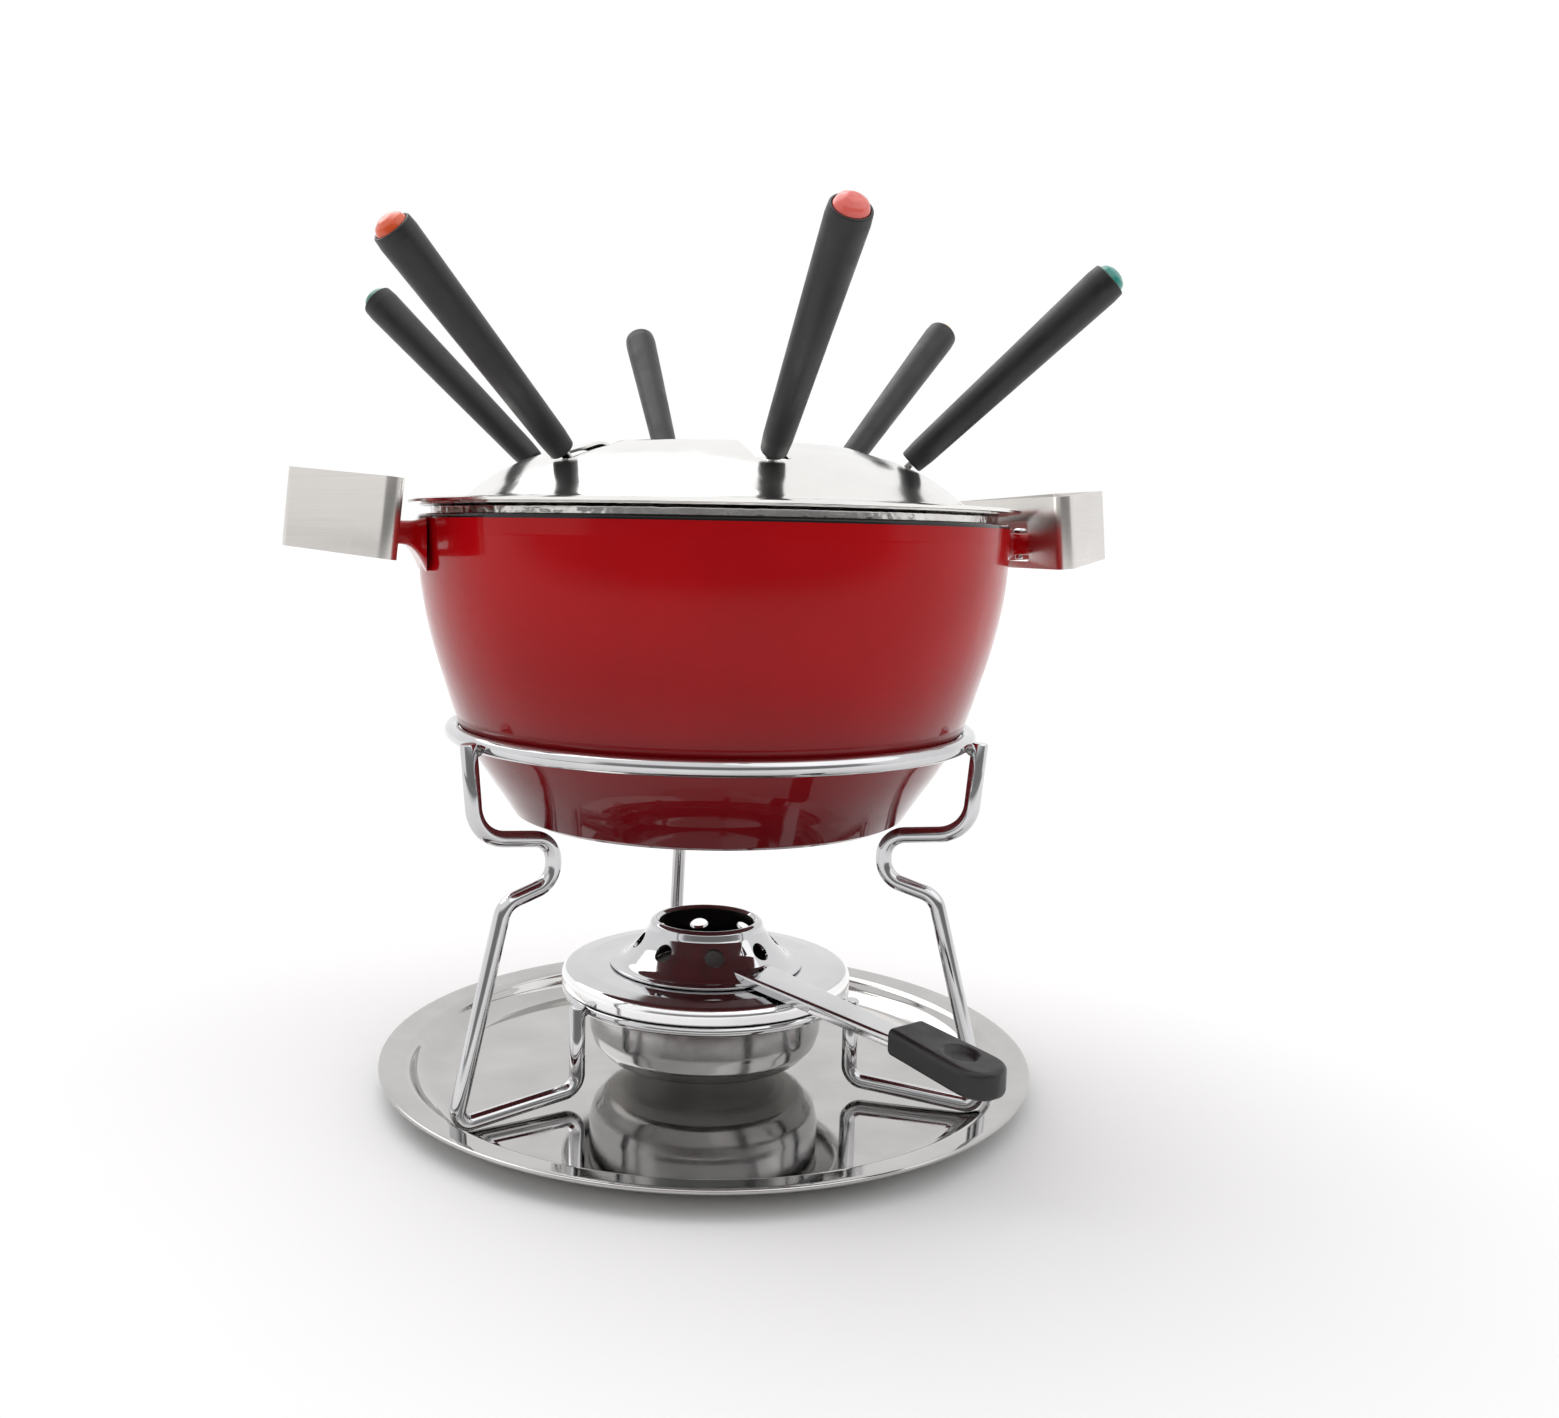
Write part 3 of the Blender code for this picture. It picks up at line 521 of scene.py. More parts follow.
def loft(name, sections, material, angle=40.0):
    """Skin over closed sections of equal point counts, capped at both ends; millimetres."""
    verts = [Vector(p) * MM for section in sections for p in section]
    count = len(sections[0])
    faces = []
    for i in range(len(sections) - 1):
        for j in range(count):
            k = (j + 1) % count
            a, b = i * count, (i + 1) * count
            faces.append([a + j, a + k, b + k, b + j])
    faces.append(list(range(count)))
    faces.append(list(range((len(sections) - 1) * count, len(sections) * count)))
    return mesh_object(name, verts, faces, [material], None, angle)


def cut_away(piece, cutters, angle=30.0):
    bpy.context.view_layer.update()
    for cutter in cutters:
        change = piece.modifiers.new("cut", "BOOLEAN")
        change.operation = "DIFFERENCE"
        change.solver = "EXACT"
        change.object = cutter
    result = to_mesh(piece, angle)
    for cutter in cutters:
        bpy.data.objects.remove(cutter, do_unlink=True)
    return result


def soft_edges(piece, width, segments):
    edge = piece.modifiers.new("soft edges", "BEVEL")
    edge.width = width * MM
    edge.segments = segments
    edge.limit_method = "ANGLE"
    edge.angle_limit = math.radians(35.0)
    edge.harden_normals = False


def prism(name, outlines, low, high, material):
    """Flat outlines of (x, y) millimetres given thickness along Z."""
    curve = bpy.data.curves.new(name, "CURVE")
    curve.dimensions = "2D"
    curve.fill_mode = "BOTH"
    curve.extrude = (high - low) / 2.0 * MM
    for outline in outlines:
        spline = curve.splines.new("POLY")
        spline.points.add(len(outline) - 1)
        spline.use_cyclic_u = True
        for point, place in zip(spline.points, outline):
            point.co = (place[0] * MM, place[1] * MM, 0.0, 1.0)
    if material is not None:
        curve.materials.append(material)
    piece = bpy.data.objects.new(name, curve)
    bpy.context.scene.collection.objects.link(piece)
    piece = to_mesh(piece)
    piece.data.transform(Matrix.Translation((0.0, 0.0, (low + high) / 2.0 * MM)))
    return piece


def rounded_box(width, depth, corner, count=7):
    """Closed outline of a rounded rectangle centred on the origin, as (x, y) pairs."""
    corner = min(corner, width / 2.0 - 0.01, depth / 2.0 - 0.01)
    outline = []
    for turn, sx, sy in ((0, 1, 1), (90, -1, 1), (180, -1, -1), (270, 1, -1)):
        for k in range(count + 1):
            a = math.radians(turn + 90.0 * k / count)
            outline.append((
                sx * (width / 2.0 - corner) + corner * math.cos(a),
                sy * (depth / 2.0 - corner) + corner * math.sin(a),
            ))
    return outline


def arc_path(corners, radii):
    """Open path through corners, each inner corner rounded by an arc."""
    path = [corners[0]]
    for i in range(1, len(corners) - 1):
        path += corner_arc(corners[i - 1], corners[i], corners[i + 1], radii[i - 1], 6.0)
    path.append(corners[-1])
    return path


# ---------------------------------------------------------------- tray and stand

def make_tray():
    f = TRAY_FLAT
    z = TRAY_FLOOR
    r = TRAY_R
    t = TRAY_TOP
    profile = rounded([
        (0.0, z), (f + 2.4, z, 14.0), (f + 8.6, z + 3.4, 8.0), (f + 11.6, t - 1.4, 4.0),
        (r - 2.4, t - 0.35, 6.0), (r - 0.2, t - 0.2, 0.9), (r, t - 1.4, 0.9), (r - 1.2, t - 2.3, 0.5),
        (r - 2.6, t - 1.5, 0.6), (f + 12.4, t - 2.5, 3.0), (f + 9.4, z + 2.4, 7.0),
        (f + 2.4, 0.0, 14.0), (0.0, 0.0),
    ], False)
    tray = revolve("tray_dish", profile, [TRAY_STEEL], 192)
    add_piece(tray, "tray", "polished_steel", "tray")


def make_rings():
    for name, node, radius, height, wire in (
        ("stand_ring", "pot_ring", RING_R, RING_Z, WIRE),
        ("burner_hoop", "burner_ring", SMALL_R, SMALL_Z, SMALL_WIRE),
    ):
        ring = revolve(name, circle(wire, 28, radius, height), [CHROME], 160)
        add_piece(ring, "stand", "chrome_wire", node)


def make_legs():
    outer = RING_R + 2.0 * WIRE + 0.3
    ground = TRAY_FLOOR + WIRE
    corners = [
        (outer, LEG_TOP), (101.8, 106.4), (70.6, 102.8), (70.6, 87.0), (90.7, 81.6),
        (LEG_FOOT_R, ground), (POST_R, ground + 2.6), (POST_R, POST_TOP),
    ]
    flat = [Vector((r, 0.0, z)) for r, z in corners]
    path = arc_path(flat, [13.0, 9.0, 9.0, 8.0, 5.0, 6.0])
    for number, angle in enumerate(LEG_ANGLES, 1):
        turn = Matrix.Rotation(math.radians(angle), 3, "Z")
        leg = sweep("leg_%d" % number, [turn @ p for p in path], WIRE, CHROME)
        add_piece(leg, "stand", "chrome_wire", "stand_leg_%d" % number)
        for label, radius, height, size in (
            ("top", RING_R + WIRE, RING_Z - 1.2, (1.6, 2.9, 2.2)),
            ("low", SMALL_R + SMALL_WIRE + 0.2, SMALL_Z, (1.1, 1.9, 2.0)),
        ):
            add_weld("weld_%s_%d" % (label, number), polar(radius, angle, height), angle, size)


def add_weld(name, place, angle, size):
    """Small lumpy bead that fills the joint between a ring and a leg."""
    work = bmesh.new()
    bmesh.ops.create_icosphere(work, subdivisions=3, radius=1.0)
    for vert in work.verts:
        wave = math.sin(5.0 * vert.co.x + 3.0 * vert.co.z) * math.cos(4.0 * vert.co.y)
        vert.co *= 1.0 + 0.06 * wave
        vert.co = Vector((vert.co.x * size[0], vert.co.y * size[1], vert.co.z * size[2])) * MM
    mesh = bpy.data.meshes.new(name)
    work.to_mesh(mesh)
    work.free()
    mesh.transform(Matrix.Rotation(math.radians(angle), 4, "Z"))
    mesh.transform(Matrix.Translation(place * MM))
    for face in mesh.polygons:
        face.use_smooth = True
    mesh.materials.append(WELD)
    bead = bpy.data.objects.new(name, mesh)
    bpy.context.scene.collection.objects.link(bead)
    add_piece(bead, "stand", "chrome_wire")


# ---------------------------------------------------------------- burner

def make_cup():
    z = FLANGE_TOP
    b = CUP_LOW
    cup = rounded([
        (FLANGE_R, z, 0.4), (FLANGE_R, z - 1.0, 0.4), (CUP_R, z - 1.0, 0.8), (CUP_R, 20.0, 8.0),
        (CUP_R - 1.5, b + 8.0, 5.0), (CUP_R - 6.0, b + 3.0, 5.0), (CUP_R - 13.0, b + 0.6, 6.0),
        (CUP_R - 17.0, b, 4.0), (12.0, b + 0.4, 8.0), (0.0, b + 0.4), (0.0, b + 1.4),
        (CUP_R - 17.0, b + 1.0, 6.0), (CUP_R - 13.4, b + 1.6, 4.0), (CUP_R - 6.8, b + 3.8, 4.0),
        (CUP_R - 2.5, b + 8.4, 4.0), (CUP_R - 1.0, 20.2, 8.0), (CUP_R - 1.0, z, 0.4),
    ], True)
    cup = axis_first(cup)

    # The low flat of the cup takes the lighter base finish: partly a satin stamped bottom, partly painted
    # light.
    def base_at(radius, height):
        return 1 if height < b + 2.0 and radius < CUP_R - 7.6 else 0

    cup = revolve("fuel_cup", cup, [CUP_STEEL, CUP_BASE], 128, base_at)
    add_piece(cup, "burner", "polished_steel", "burner_cup")


def make_wadding():
    low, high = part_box("fuel_pad")
    top = high.z / MM
    pad = rounded([
        (0.0, top), (30.0, top - 0.4, 8.0), (43.2, top - 0.8, 2.4), (43.5, 22.3, 4.0),
        (41.4, 16.6, 4.0), (37.2, 12.0, 4.0), (27.6, low.z / MM, 3.0), (0.0, low.z / MM),
    ], False)
    pad = revolve("wadding", pad, [WADDING], 72)
    add_piece(pad, "burner", "fuel_wadding", "fuel_pad")


def make_cover():
    t = COVER_TOP
    r = COVER_R
    skirt = rounded([
        (r, COVER_LOW, 0.3), (r, t - 1.0, 3.4), (r - 9.0, t, 2.0), (20.0, t, 0.3), (20.0, t - 0.9, 0.3),
        (r - 9.0, t - 0.9, 2.0), (r - 0.9, t - 1.6, 2.6), (r - 0.9, COVER_LOW, 0.3),
    ], True)

    # The skirt's outer band takes the brighter copy of the cover steel: painted light.
    def skirt_at(radius, height):
        return 1 if radius > r - 1.6 and height < t - 1.2 else 0

    cover = revolve("burner_lid", skirt, [COVER_STEEL, PAINTED_BRIGHT_SKIRT_STEEL], 160, skirt_at)
    add_piece(cover, "burner_cover", "polished_steel", "burner_cover")


def make_gauze():
    profile = rounded([
        (0.0, 44.1), (12.0, 43.9, 3.0), (24.5, 43.7, 0.2), (24.5, 43.2, 0.2), (12.0, 43.3, 3.0),
        (0.0, 43.5),
    ], False)
    disc = revolve("gauze_disc", profile, [GAUZE], 64)
    add_piece(disc, "burner_cover", "gauze_steel", "fuel_gauze")


def make_regulator():
    z = FLARE_LOW
    t = FLARE_TOP
    flare = rounded([
        (FLARE_R, z, 0.4), (FLARE_R, z + 1.0, 0.5), (33.4, z + 1.3, 6.0), (26.6, z + 8.4, 10.0),
        (22.6, z + 13.8, 3.0), (22.0, t - 1.0, 1.6), (19.9, t + 0.1, 1.3), (18.0, t - 1.6, 0.4),
        (20.0, t - 2.2, 1.0), (21.0, z + 13.8, 2.0), (25.4, z + 8.0, 9.0), (32.6, z + 0.5, 6.0),
        (34.6, z, 0.3),
    ], True, 6.0, 1.5)

    middle = [
        (z + 0.5, 36.0), (z + 1.0, 34.6), (z + 2.6, 31.2), (z + 6.2, 27.5), (z + 12.1, 22.7),
        (z + 14.1, 21.5), (t - 1.5, 20.8), (t - 0.6, 19.4),
    ]

    def burnt_at(radius, height):
        return 1 if radius < table_value(middle, height) and height < t - 0.9 else 0

    cone = revolve("regulator_ring", flare, [COVER_STEEL, SOOT], 240, burnt_at)
    drills = []
    for i in range(AIR_HOLES):
        direction = LEVER_ANGLE - 30.0 + i * 360.0 / AIR_HOLES
        drill = prism("drill_%d" % i, [circle(AIR_HOLE_R, 32)], -7.0, 7.0, None)
        tilt = Matrix.Rotation(math.radians(AIR_HOLE_TILT), 4, "Y")
        spin = Matrix.Rotation(math.radians(direction), 4, "Z")
        drill.matrix_world = Matrix.Translation(polar(26.4, direction, z + 8.7) * MM) @ spin @ tilt
        drills.append(drill)
    cone = cut_away(cone, drills)
    add_piece(cone, "regulator", "polished_steel", "regulator")


def make_lever():
    """Channel lever with rolled edges, built along X and then turned into place."""
    rest = FLARE_LOW

    def level(x):
        return rest + 4.8 - (x - 24.0) * LEVER_FALL

    sections = []
    tongue = GRIP_START + 12.0
    for x in [24.0, 27.0, 30.0, 34.0, 40.0, 50.0, 60.0, 70.0, 80.0, 90.0, 100.0, 109.6, 110.4, tongue]:
        share = min(1.0, (x - 24.0) / 85.6)
        half = 9.0 - 3.6 * share
        depth = 3.7
        if x > 110.0:
            half, depth = 4.0, 1.0
        sheet = 1.0
        bend = min(1.4, depth * 0.6)
        outer = [(-half, -depth), (-half, 0.0, bend), (half, 0.0, bend), (half, -depth)]
        inner_z = -sheet
        inner = [
            (half - sheet, -depth), (half - sheet, inner_z, 0.5), (-half + sheet, inner_z, 0.5),
            (-half + sheet, -depth),
        ]
        if x > 110.0:
            inner = [(half - sheet, -depth), (0.5, -depth), (-0.5, -depth), (-half + sheet, -depth)]
        line = []
        for ring in (outer, inner):
            flat = [Vector((p[0], p[1], 0.0)) for p in ring]
            line.append(flat[0])
            for i in (1, 2):
                radius = ring[i][2] if len(ring[i]) > 2 else 0.2
                start, here, after = flat[i - 1], flat[i], flat[i + 1]
                line += fixed_arc(start, here, after, radius, 6)
            line.append(flat[3])
        sections.append([(x, p.x, level(x) + p.y) for p in line])
    lever = loft("lever_channel", sections, COVER_STEEL, 30.0)
    turn = Matrix.Rotation(math.radians(LEVER_ANGLE), 4, "Z")
    lever.data.transform(turn)
    add_piece(lever, "regulator", "polished_steel", "lever")

    grip = []
    length = GRIP_LENGTH
    crown = level(GRIP_START) + 4.2
    stations = 64
    for i in range(stations + 1):
        t = i / stations
        x = length * t
        width = 16.4 + 2.4 * min(1.0, t / 0.7)
        thick = 9.2
        near = max(0.0, 1.0 - x / 1.4)
        far = max(0.0, (x - (length - 9.4)) / 9.4)
        round_end = math.sqrt(max(0.0, 1.0 - min(1.0, far) ** 2.2))
        width = max(1.2, width * round_end) - 1.6 * near ** 2
        drop = max(0.0, (x - (length - 2.2)) / 2.2)
        thick = thick - 1.6 * near ** 2 - 2.4 * (1.0 - math.sqrt(max(0.0, 1.0 - drop ** 2)))
        outline = rounded_box(width, thick, 1.9)
        middle = crown - x * GRIP_FALL - 9.2 / 2.0
        grip.append([(GRIP_START + x, y, middle + z) for y, z in outline])
    handle = loft("grip", dense_top(grip), BLACK, 50.0)
    dimple(handle, Vector((GRIP_START + length - 16.0, 0.0, 0.0)), 6.6, 5.4, 1.7, crown)
    handle.data.transform(turn)
    add_piece(handle, "regulator", "black_plastic", "lever_grip")


def fixed_arc(before, here, after, radius, count):
    """Corner arc with a fixed number of points, so that sections match."""
    back = (before - here)
    ahead = (after - here)
    cut = min(radius, 0.45 * back.length, 0.45 * ahead.length)
    back.normalize()
    ahead.normalize()
    return [
        here + back * cut * (1.0 - t) ** 2 + ahead * cut * t ** 2
        for t in (k / count for k in range(count + 1))
    ]


def dense_top(sections):
    """Adds points along the straight sides of rounded-box sections."""
    result = []
    for section in sections:
        line = []
        count = len(section)
        for i in range(count):
            a = Vector(section[i])
            b = Vector(section[(i + 1) % count])
            line.append(a)
            if i % (count // 4) == count // 4 - 1:
                line += [a.lerp(b, k / 16.0) for k in range(1, 16)]
        result.append(line)
    return result


def dimple(piece, centre, along, across, depth, crown):
    """Presses an oval thumb hollow into the top of the grip."""
    for vert in piece.data.vertices:
        p = vert.co / MM
        top = crown - (p.x - GRIP_START) * GRIP_FALL - 2.2
        if p.z < top:
            continue
        d = math.hypot((p.x - centre.x) / along, (p.y - centre.y) / across)
        if d < 1.0:
            press = 1.0 - d ** 2
            vert.co.z -= depth * MM * min(1.0, press * 1.9)


# ---------------------------------------------------------------- pot and handles

def make_pot():
    t = POT_TOP
    b = POT_LOW
    ledge = t - 4.2
    wall = flowing([
        (POT_R, t - 7.0), (109.0, 192.8), (106.0, 175.8), (101.6, 159.8), (95.3, 140.0),
        (88.6, 127.6), (80.6, 115.6),
    ])
    outer = [(106.0, t, 0.6), (POT_R, t, 1.4)] + wall
    outer += [(75.3, b + 1.4, 1.4), (72.6, b, 1.6), (0.0, b)]
    inner = [
        (0.0, b + 4.6), (68.0, b + 4.6, 12.0), (75.0, 116.2, 10.0),
        (82.0, 126.8, 14.0), (90.0, 141.4, 16.0), (97.0, 159.8, 20.0), (101.4, 177.8, 20.0),
        (103.6, 193.8, 12.0), (104.0, ledge, 0.5), (106.0, ledge, 0.4),
    ]
    profile = rounded(outer + inner, True, 5.0, 4.0)
    profile = axis_first(profile)

    def finish_at(radius, height):
        inside = height > b + 4.0 and (radius < 60.0 or radius < shell_radius(height))
        if height < b + 0.3:
            return 2
        return 1 if inside or height > t - 1.6 else 0

    pot = revolve("pot_bowl", profile, [RED, BLACK_ENAMEL, POT_BASE], 192, finish_at)
    add_piece(pot, "pot", "red_enamel", "pot")

    for side, label in ((1.0, "right"), (-1.0, "left")):
        sections = []
        for x in [108.6, 110.0, 111.0, 112.0, 113.4, 115.0, 117.0, 120.0, 124.0, 127.0, 129.0,
                  130.4, 131.3, 131.8, LUG_END]:
            root = max(0.0, 1.0 - (x - 108.6) / 6.0) ** 2
            sag = 8.0 * max(0.0, 1.0 - (x - 108.6) / 8.0) ** 2.2
            tip = max(0.0, (x - 126.0) / (LUG_END - 126.0))
            ease = math.sqrt(max(0.0, 1.0 - tip ** 2.0))
            width = 46.0 + 9.0 * root - 14.0 * (1.0 - ease)
            nose = max(0.0, (x - 129.0) / 3.0)
            thick = 8.0 + 2.4 * root - 5.0 * (1.0 - math.sqrt(max(0.0, 1.0 - nose ** 2)))
            outline = rounded_box(width, thick + sag, 3.2)
            middle = (LUG_LOW + LUG_TOP - sag) / 2.0
            sections.append([(x * side, y * side, middle + z) for y, z in outline])
        lug = loft("lug_" + label, sections, RED, 60.0)
        add_piece(lug, "pot", "red_enamel", "pot_lug_" + label)
        make_handle(side, label)


def shell_radius(height):
    """Radius halfway through the pot wall at a height."""
    return table_value([
        (109.0, 72.5), (115.0, 77.6), (127.0, 85.3), (140.8, 92.6), (159.8, 99.3), (177.0, 103.8),
        (193.5, 106.3), (222.0, 107.2),
    ], height)


def make_handle(side, label):
    near_x, far_x = 118.0, 155.0
    near_half, far_half = 55.0, 17.5
    t = 2.0
    slant = math.hypot(far_x - near_x, near_half - far_half)
    run = far_x - near_x
    lean = (near_half - far_half) / run
    edge = t * slant / run
    inner_near = near_half - edge - t * lean
    inner_far = far_half - edge + t * lean
    outer = rounded([
        (near_x, -near_half, 3.8), (far_x, -far_half, 4.5), (far_x, far_half, 4.5),
        (near_x, near_half, 3.8),
    ], True, 8.0, 400.0)
    inner = rounded([
        (near_x + t, -inner_near, 1.9), (far_x - t, -inner_far, 2.6), (far_x - t, inner_far, 2.6),
        (near_x + t, inner_near, 1.9),
    ], True, 10.0, 400.0)
    height = 26.6
    middle = 214.8
    band = prism("band_" + label, [outer, inner], -height / 2.0, height / 2.0, BAND_STEEL)
    pivot = Matrix.Translation((near_x * MM, 0.0, middle * MM))
    tilt = Matrix.Rotation(math.radians(-6.4), 4, "Y")
    band.data.transform(pivot @ tilt @ Matrix.Translation((-near_x * MM, 0.0, 0.0)))
    half, low, top, corner = 24.5, 204.2, 219.6, 2.2
    hole = rounded([
        (-half, low, corner), (half, low, corner), (half, top, corner), (-half, top, corner),
    ], True, 12.0, 400.0)
    cutter = prism("window", [hole], -8.0, 8.0, None)
    upright = Matrix(((0, 0, 1, near_x * MM), (1, 0, 0, 0), (0, 1, 0, 0), (0, 0, 0, 1)))
    cutter.data.transform(upright)
    band = cut_away(band, [cutter], 35.0)
    soft_edges(band, 0.75, 3)
    band = to_mesh(band, 40.0)
    if side < 0:
        band.data.transform(Matrix.Rotation(math.pi, 4, "Z"))
    add_piece(band, "pot", "brushed_steel", "handle_" + label)

    low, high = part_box("handle_pin_" + label)
    x = (low.x + high.x) / 2.0
    top = high.z / MM
    pin = revolve("rivet_" + label, rounded([
        (0.0, top), (2.0, top - 0.1, 0.8), (2.8, top - 0.9, 0.5), (2.8, top - 2.0, 0.3),
        (1.5, top - 2.1, 0.1), (1.5, low.z / MM, 0.4), (0.0, low.z / MM),
    ], False), [CHROME], 32)
    pin.data.transform(Matrix.Translation((x, 0.0, 0.0)))
    add_piece(pin, "pot", "chrome_wire", "handle_pin_" + label)


# ---------------------------------------------------------------- guard and forks

def guard_height(radius):
    """Height of the dome's upper face: level brim, S-shaped rise, rolled mouth."""
    knots = [
        (44.0, GUARD_TOP - 4.9), (45.2, GUARD_TOP - 2.3), (47.6, GUARD_TOP - 0.7), (51.5, GUARD_TOP),
        (60.0, BRIM + 18.6), (69.4, BRIM + 15.8), (78.4, BRIM + 11.8), (86.0, BRIM + 7.0),
        (90.5, BRIM + 3.4), (94.0, BRIM + 1.1), (98.0, BRIM + 0.35), (112.4, BRIM),
        (113.4, BRIM - 0.5),
    ]
    if radius <= knots[0][0]:
        return knots[0][1]
    for i in range(len(knots) - 1):
        (r0, z0), (r1, z1) = knots[i], knots[i + 1]
        if radius <= r1:
            before = knots[max(0, i - 1)]
            after = knots[min(len(knots) - 1, i + 2)]
            m0 = slope(before, (r1, z1)) if i else slope((r0, z0), (r1, z1))
            m1 = slope((r0, z0), after)
            span = r1 - r0
            t = (radius - r0) / span
            return (
                (2 * t ** 3 - 3 * t ** 2 + 1) * z0 + (t ** 3 - 2 * t ** 2 + t) * span * m0
                + (3 * t ** 2 - 2 * t ** 3) * z1 + (t ** 3 - t ** 2) * span * m1
            )
    return knots[-1][1]


def slope(a, b):
    return (b[1] - a[1]) / (b[0] - a[0])


def notch_edge(offset):
    """Inner radius of the dome at an angle in degrees from the nearest notch centre."""
    mouth, end, half, corner = 44.0, 74.6, 6.2, 2.2
    a = abs(math.radians(offset))
    straight = end / math.cos(a)
    if straight * math.sin(a) <= half - corner:
        return straight
    if mouth * math.sin(a) >= half:
        return mouth
    side = half / math.sin(a)
    centre = Vector((end - corner, half - corner))
    ray = Vector((math.cos(a), math.sin(a)))
    along = ray.dot(centre)
    gap = corner ** 2 - (centre.length ** 2 - along ** 2)
    if gap > 0.0:
        hit = along + math.sqrt(gap)
        if hit * math.cos(a) > centre.x and hit * math.sin(a) > centre.y:
            return hit
    return side


def make_guard():
    columns = []
    for i in range(FORKS):
        centre = FORK_FIRST + 60.0 * i
        near = [k * 0.22 for k in range(-40, 41)]
        wide = [-30.0, -26.0, -22.0, -18.0, -14.0, -11.0, 11.0, 14.0, 18.0, 22.0, 26.0]
        for offset in sorted(near + wide):
            columns.append((centre + offset, notch_edge(offset)))
    rows = 42
    verts = []
    for angle, inner in columns:
        for i in range(rows + 1):
            t = i / rows
            radius = 113.4 + (inner - 113.4) * t
            verts.append(polar(radius * MM, angle, guard_height(radius) * MM))
    faces = []
    total = len(columns)
    for j in range(total):
        k = (j + 1) % total
        for i in range(rows):
            a = j * (rows + 1) + i
            b = k * (rows + 1) + i
            faces.append([a, b, b + 1, a + 1])
    dome = mesh_object("fork_guard", verts, faces, [GUARD_STEEL], None, 60.0)
    face_up(dome)
    thick = dome.modifiers.new("sheet", "SOLIDIFY")
    thick.thickness = 0.9 * MM
    thick.offset = -1.0
    dome = to_mesh(dome, 50.0)
    add_piece(dome, "splash_guard", "polished_steel", "splash_guard")

    low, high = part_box("guard_collar")
    z0, z1, r = low.z / MM, high.z / MM, 105.2
    wall = rounded([
        (r, z0, 0.3), (r, z1 - 1.2, 1.0), (r + 4.0, z1 - 0.9, 0.4), (r + 4.0, z1, 0.4), (r - 0.4, z1, 1.4),
        (r - 0.9, z1 - 1.6, 0.6), (r - 0.9, z0, 0.3),
    ], True)
    collar = revolve("guard_wall", wall, [COLLAR_STEEL], 160)
    add_piece(collar, "splash_guard", "polished_steel", "guard_collar")


def face_up(piece):
    """Makes an open sheet's faces point up."""
    work = bmesh.new()
    work.from_mesh(piece.data)
    total = sum(face.normal.z * face.calc_area() for face in work.faces)
    if total < 0.0:
        bmesh.ops.reverse_faces(work, faces=work.faces)
    work.to_mesh(piece.data)
    work.free()


def make_forks():
    handle_low, handle_high, cap_high, tip = 1.6, 92.6, 95.8, -86.0
    for i in range(FORKS):
        number = i + 1
        turn = FORK_FIRST + 60.0 * i
        body = "fork_%d" % number
        colour = CAPS[i]
        place = (
            Matrix.Translation(polar(FORK_R, turn, FORK_Z) * MM)
            @ Matrix.Rotation(math.radians(turn), 4, "Z")
            @ Matrix.Rotation(math.radians(FORK_LEAN), 4, "Y")
        )
        e, s = handle_high, handle_low
        handle = revolve("handle_%d" % number, rounded([
            (0.0, e - 1.0), (5.6, e - 1.0), (5.7, e - 0.1, 0.2), (6.5, e - 0.3, 0.9), (6.8, e - 4.0, 6.0),
            (5.0, s + 6.0, 20.0), (4.5, s, 0.8), (1.95, s, 0.2), (1.95, s + 14.0),
            (0.0, s + 14.0),
        ], False, 8.0, 5.0), [BLACK], 56)
        tone = CAP_COLOURS[colour]
        plug_material = plastic("cap_" + colour, tone[0], tone[1], 0.2, 0.32, 700.0, 0.06, 0.5)
        plug = revolve("plug_%d" % number, rounded([
            (0.0, cap_high), (2.4, cap_high - 0.25, 3.0), (4.6, cap_high - 1.5, 2.0), (5.45, e - 0.1, 0.5),
            (5.45, e - 0.7), (0.0, e - 0.7),
        ], False, 6.0, 1.0), [plug_material], 48)
        steel = make_fork_steel("prongs_%d" % number, tip, s)
        for piece, slot_name, node in (
            (handle, "black_plastic", "_handle"),
            (plug, "cap_" + colour, "_cap"),
            (steel, "fork_steel", "_steel"),
        ):
            piece.data.transform(place)
            add_piece(piece, body, slot_name, body + node)


